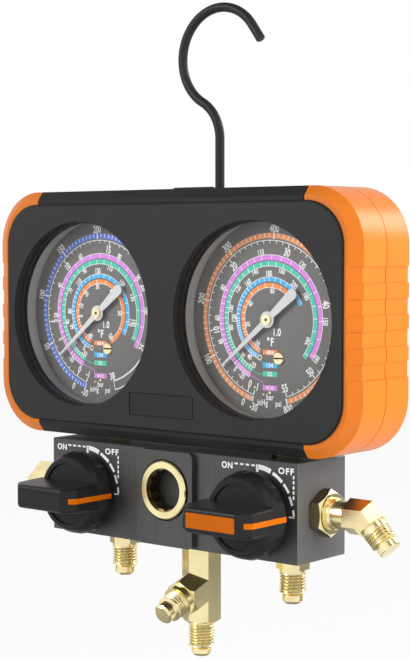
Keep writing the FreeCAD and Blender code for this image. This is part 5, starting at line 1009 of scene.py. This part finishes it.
class MANIFOLD_OT_stage(ManifoldOperator, bpy.types.Operator):
    """Set the camera, the pale floor, the soft lamps and the cards that show in metal"""
    bl_idname = "manifold.stage"
    bl_label = "Stage"

    def execute(self, context):
        scene = context.scene
        stage = scene.manifold_stage
        ground = CAD_BOX[0][2] - stage.floor_drop
        self.camera(scene)
        self.flat(scene, "floor", level_corners(ground, FLOOR_REACH), self.floor_material())
        self.world(scene, stage.ambient)
        for name, (place, size) in LAMPS.items():
            lamp = self.lamp(scene, name, AIM + place, size, getattr(stage, f"{name}_power"))
            lamp.visible_glossy = name != "key"
        upright = (ground, stage.card_top)
        self.card(scene, "grey card back right", upright_corners((0.42, 0.50), 0.52, upright), 0.26)
        self.card(scene, "grey card left", upright_corners((-0.64, 0.11), 0.40, upright), 0.36)
        self.card(scene, "grey card below", level_corners(ground + 5 * MM, 0.20), 0.30)
        ceiling = self.card(scene, "grey ceiling", level_corners(1.0, 1.1), 0.22)
        ceiling.visible_diffuse = True
        scene.view_settings.view_transform = "Standard"
        return {"FINISHED"}

    def camera(self, scene):
        data = bpy.data.cameras.new("photograph camera")
        data.sensor_width = 36.0
        data.lens = LENS
        data.clip_start = 0.01
        camera = bpy.data.objects.new("photograph camera", data)
        scene.collection.objects.link(camera)
        camera.location = CAMERA_PLACE
        camera.rotation_euler = [math.radians(turn) for turn in CAMERA_TURN]
        scene.camera = camera

    def flat(self, scene, name, corners, material):
        """One flat quad of the stage."""
        mesh = bpy.data.meshes.new(name)
        mesh.from_pydata(corners, [], [(0, 1, 2, 3)])
        mesh.materials.append(material)
        flat = bpy.data.objects.new(name, mesh)
        scene.collection.objects.link(flat)
        return flat

    def floor_material(self):
        """White to the camera and in mirrors, dimmed only where the lamps throw a shadow."""
        material, tree, shader = fresh_material("pale floor")
        shader.inputs["Base Color"].default_value = (0.82, 0.82, 0.82, 1)
        shader.inputs["Roughness"].default_value = 0.9
        glow = tree.nodes.new("ShaderNodeEmission")
        glow.inputs["Color"].default_value = WHITE
        glow.inputs["Strength"].default_value = 1.0
        share = tree.nodes.new("ShaderNodeMath")
        share.operation = "MULTIPLY"
        share.inputs[1].default_value = 0.90
        tree.links.new(seen_rays(tree), share.inputs[0])
        mix_shaders(tree, share.outputs[0], shader, glow, "Material Output")
        return material

    def card(self, scene, name, corners, grey):
        """A grey card that shows in polished metal, so that its facets read.

        No camera sees it and it casts no shadow. Only the ceiling lights the gauge a little."""
        material, tree, shader = fresh_material(name)
        shader.inputs["Base Color"].default_value = (0, 0, 0, 1)
        shader.inputs["Specular IOR Level"].default_value = 0.0
        shader.inputs["Emission Color"].default_value = WHITE
        shader.inputs["Emission Strength"].default_value = grey
        card = self.flat(scene, name, corners, material)
        card.visible_camera = False
        card.visible_diffuse = False
        card.visible_transmission = False
        card.visible_shadow = False
        return card

    def world(self, scene, ambient):
        scene.world = bpy.data.worlds.new("pale studio")
        scene.world.use_nodes = True
        tree = scene.world.node_tree
        plain = tree.nodes["Background"]
        plain.inputs["Color"].default_value = WHITE
        plain.inputs["Strength"].default_value = ambient
        seen = tree.nodes.new("ShaderNodeBackground")
        seen.inputs["Color"].default_value = WHITE
        seen.inputs["Strength"].default_value = 1.0
        mix_shaders(tree, seen_rays(tree), plain, seen, "World Output")

    def lamp(self, scene, name, place, size, power):
        """A square lamp that points at the middle of the gauge."""
        data = bpy.data.lights.new(name, "AREA")
        data.shape = "SQUARE"
        data.size = size
        data.energy = power
        lamp = bpy.data.objects.new(name, data)
        scene.collection.objects.link(lamp)
        lamp.location = place
        lamp.rotation_euler = Vector((AIM - place).tolist()).to_track_quat("-Z", "Y").to_euler()
        return lamp


def level_corners(height, reach):
    return [(-reach, -reach, height), (reach, -reach, height), (reach, reach, height),
            (-reach, reach, height)]


def upright_corners(place, width, heights):
    """Corners of an upright card that faces the middle of the stage."""
    out = np.array(place) / np.linalg.norm(place)
    side = np.array([-out[1], out[0]]) * width / 2
    left, right = np.array(place) - side, np.array(place) + side
    low, high = heights
    return [(*left, low), (*right, low), (*right, high), (*left, high)]


def mix_shaders(tree, factor, first, second, output):
    mix = tree.nodes.new("ShaderNodeMixShader")
    tree.links.new(factor, mix.inputs[0])
    tree.links.new(first.outputs[0], mix.inputs[1])
    tree.links.new(second.outputs[0], mix.inputs[2])
    tree.links.new(mix.outputs[0], tree.nodes[output].inputs["Surface"])


def seen_rays(tree):
    """One where a ray comes from the camera, a mirror or a window, else zero."""
    rays = tree.nodes.new("ShaderNodeLightPath")
    first = tree.nodes.new("ShaderNodeMath")
    first.operation = "MAXIMUM"
    second = tree.nodes.new("ShaderNodeMath")
    second.operation = "MAXIMUM"
    tree.links.new(rays.outputs["Is Camera Ray"], first.inputs[0])
    tree.links.new(rays.outputs["Is Glossy Ray"], first.inputs[1])
    tree.links.new(first.outputs[0], second.inputs[0])
    tree.links.new(rays.outputs["Is Transmission Ray"], second.inputs[1])
    return second.outputs[0]


class MANIFOLD_PT_panel(bpy.types.Panel):
    """Lists every step that dresses the gauge"""
    bl_idname = "MANIFOLD_PT_panel"
    bl_label = "Manifold gauge"
    bl_space_type = "VIEW_3D"
    bl_region_type = "UI"
    bl_category = "Manifold gauge"

    def draw(self, context):
        for operator in STEPS:
            self.layout.operator(operator.bl_idname)
        for group in ("manifold_finishes", "manifold_inks", "manifold_sizes", "manifold_stage"):
            box = self.layout.box()
            settings = getattr(context.scene, group)
            for name in settings.__annotations__:
                box.prop(settings, name)


STEPS = (MANIFOLD_OT_block, MANIFOLD_OT_fittings, MANIFOLD_OT_housing, MANIFOLD_OT_gauges,
         MANIFOLD_OT_knobs, MANIFOLD_OT_hook, MANIFOLD_OT_stage)
GROUPS = {"manifold_finishes": GaugeFinishes, "manifold_inks": GaugeInks,
          "manifold_sizes": GaugeSizes, "manifold_stage": GaugeStage}


def register():
    for group in GROUPS.values():
        bpy.utils.register_class(group)
    for step in STEPS:
        bpy.utils.register_class(step)
    bpy.utils.register_class(MANIFOLD_PT_panel)
    for name, group in GROUPS.items():
        setattr(bpy.types.Scene, name, PointerProperty(type=group))


def unregister():
    for name in GROUPS:
        delattr(bpy.types.Scene, name)
    bpy.utils.unregister_class(MANIFOLD_PT_panel)
    for step in reversed(STEPS):
        bpy.utils.unregister_class(step)
    for group in reversed(list(GROUPS.values())):
        bpy.utils.unregister_class(group)


def main():
    register()
    bpy.ops.manifold.block()
    bpy.ops.manifold.fittings()
    bpy.ops.manifold.housing()
    bpy.ops.manifold.gauges()
    bpy.ops.manifold.knobs()
    bpy.ops.manifold.hook()
    bpy.ops.manifold.stage()


if __name__ == "__main__":
    main()
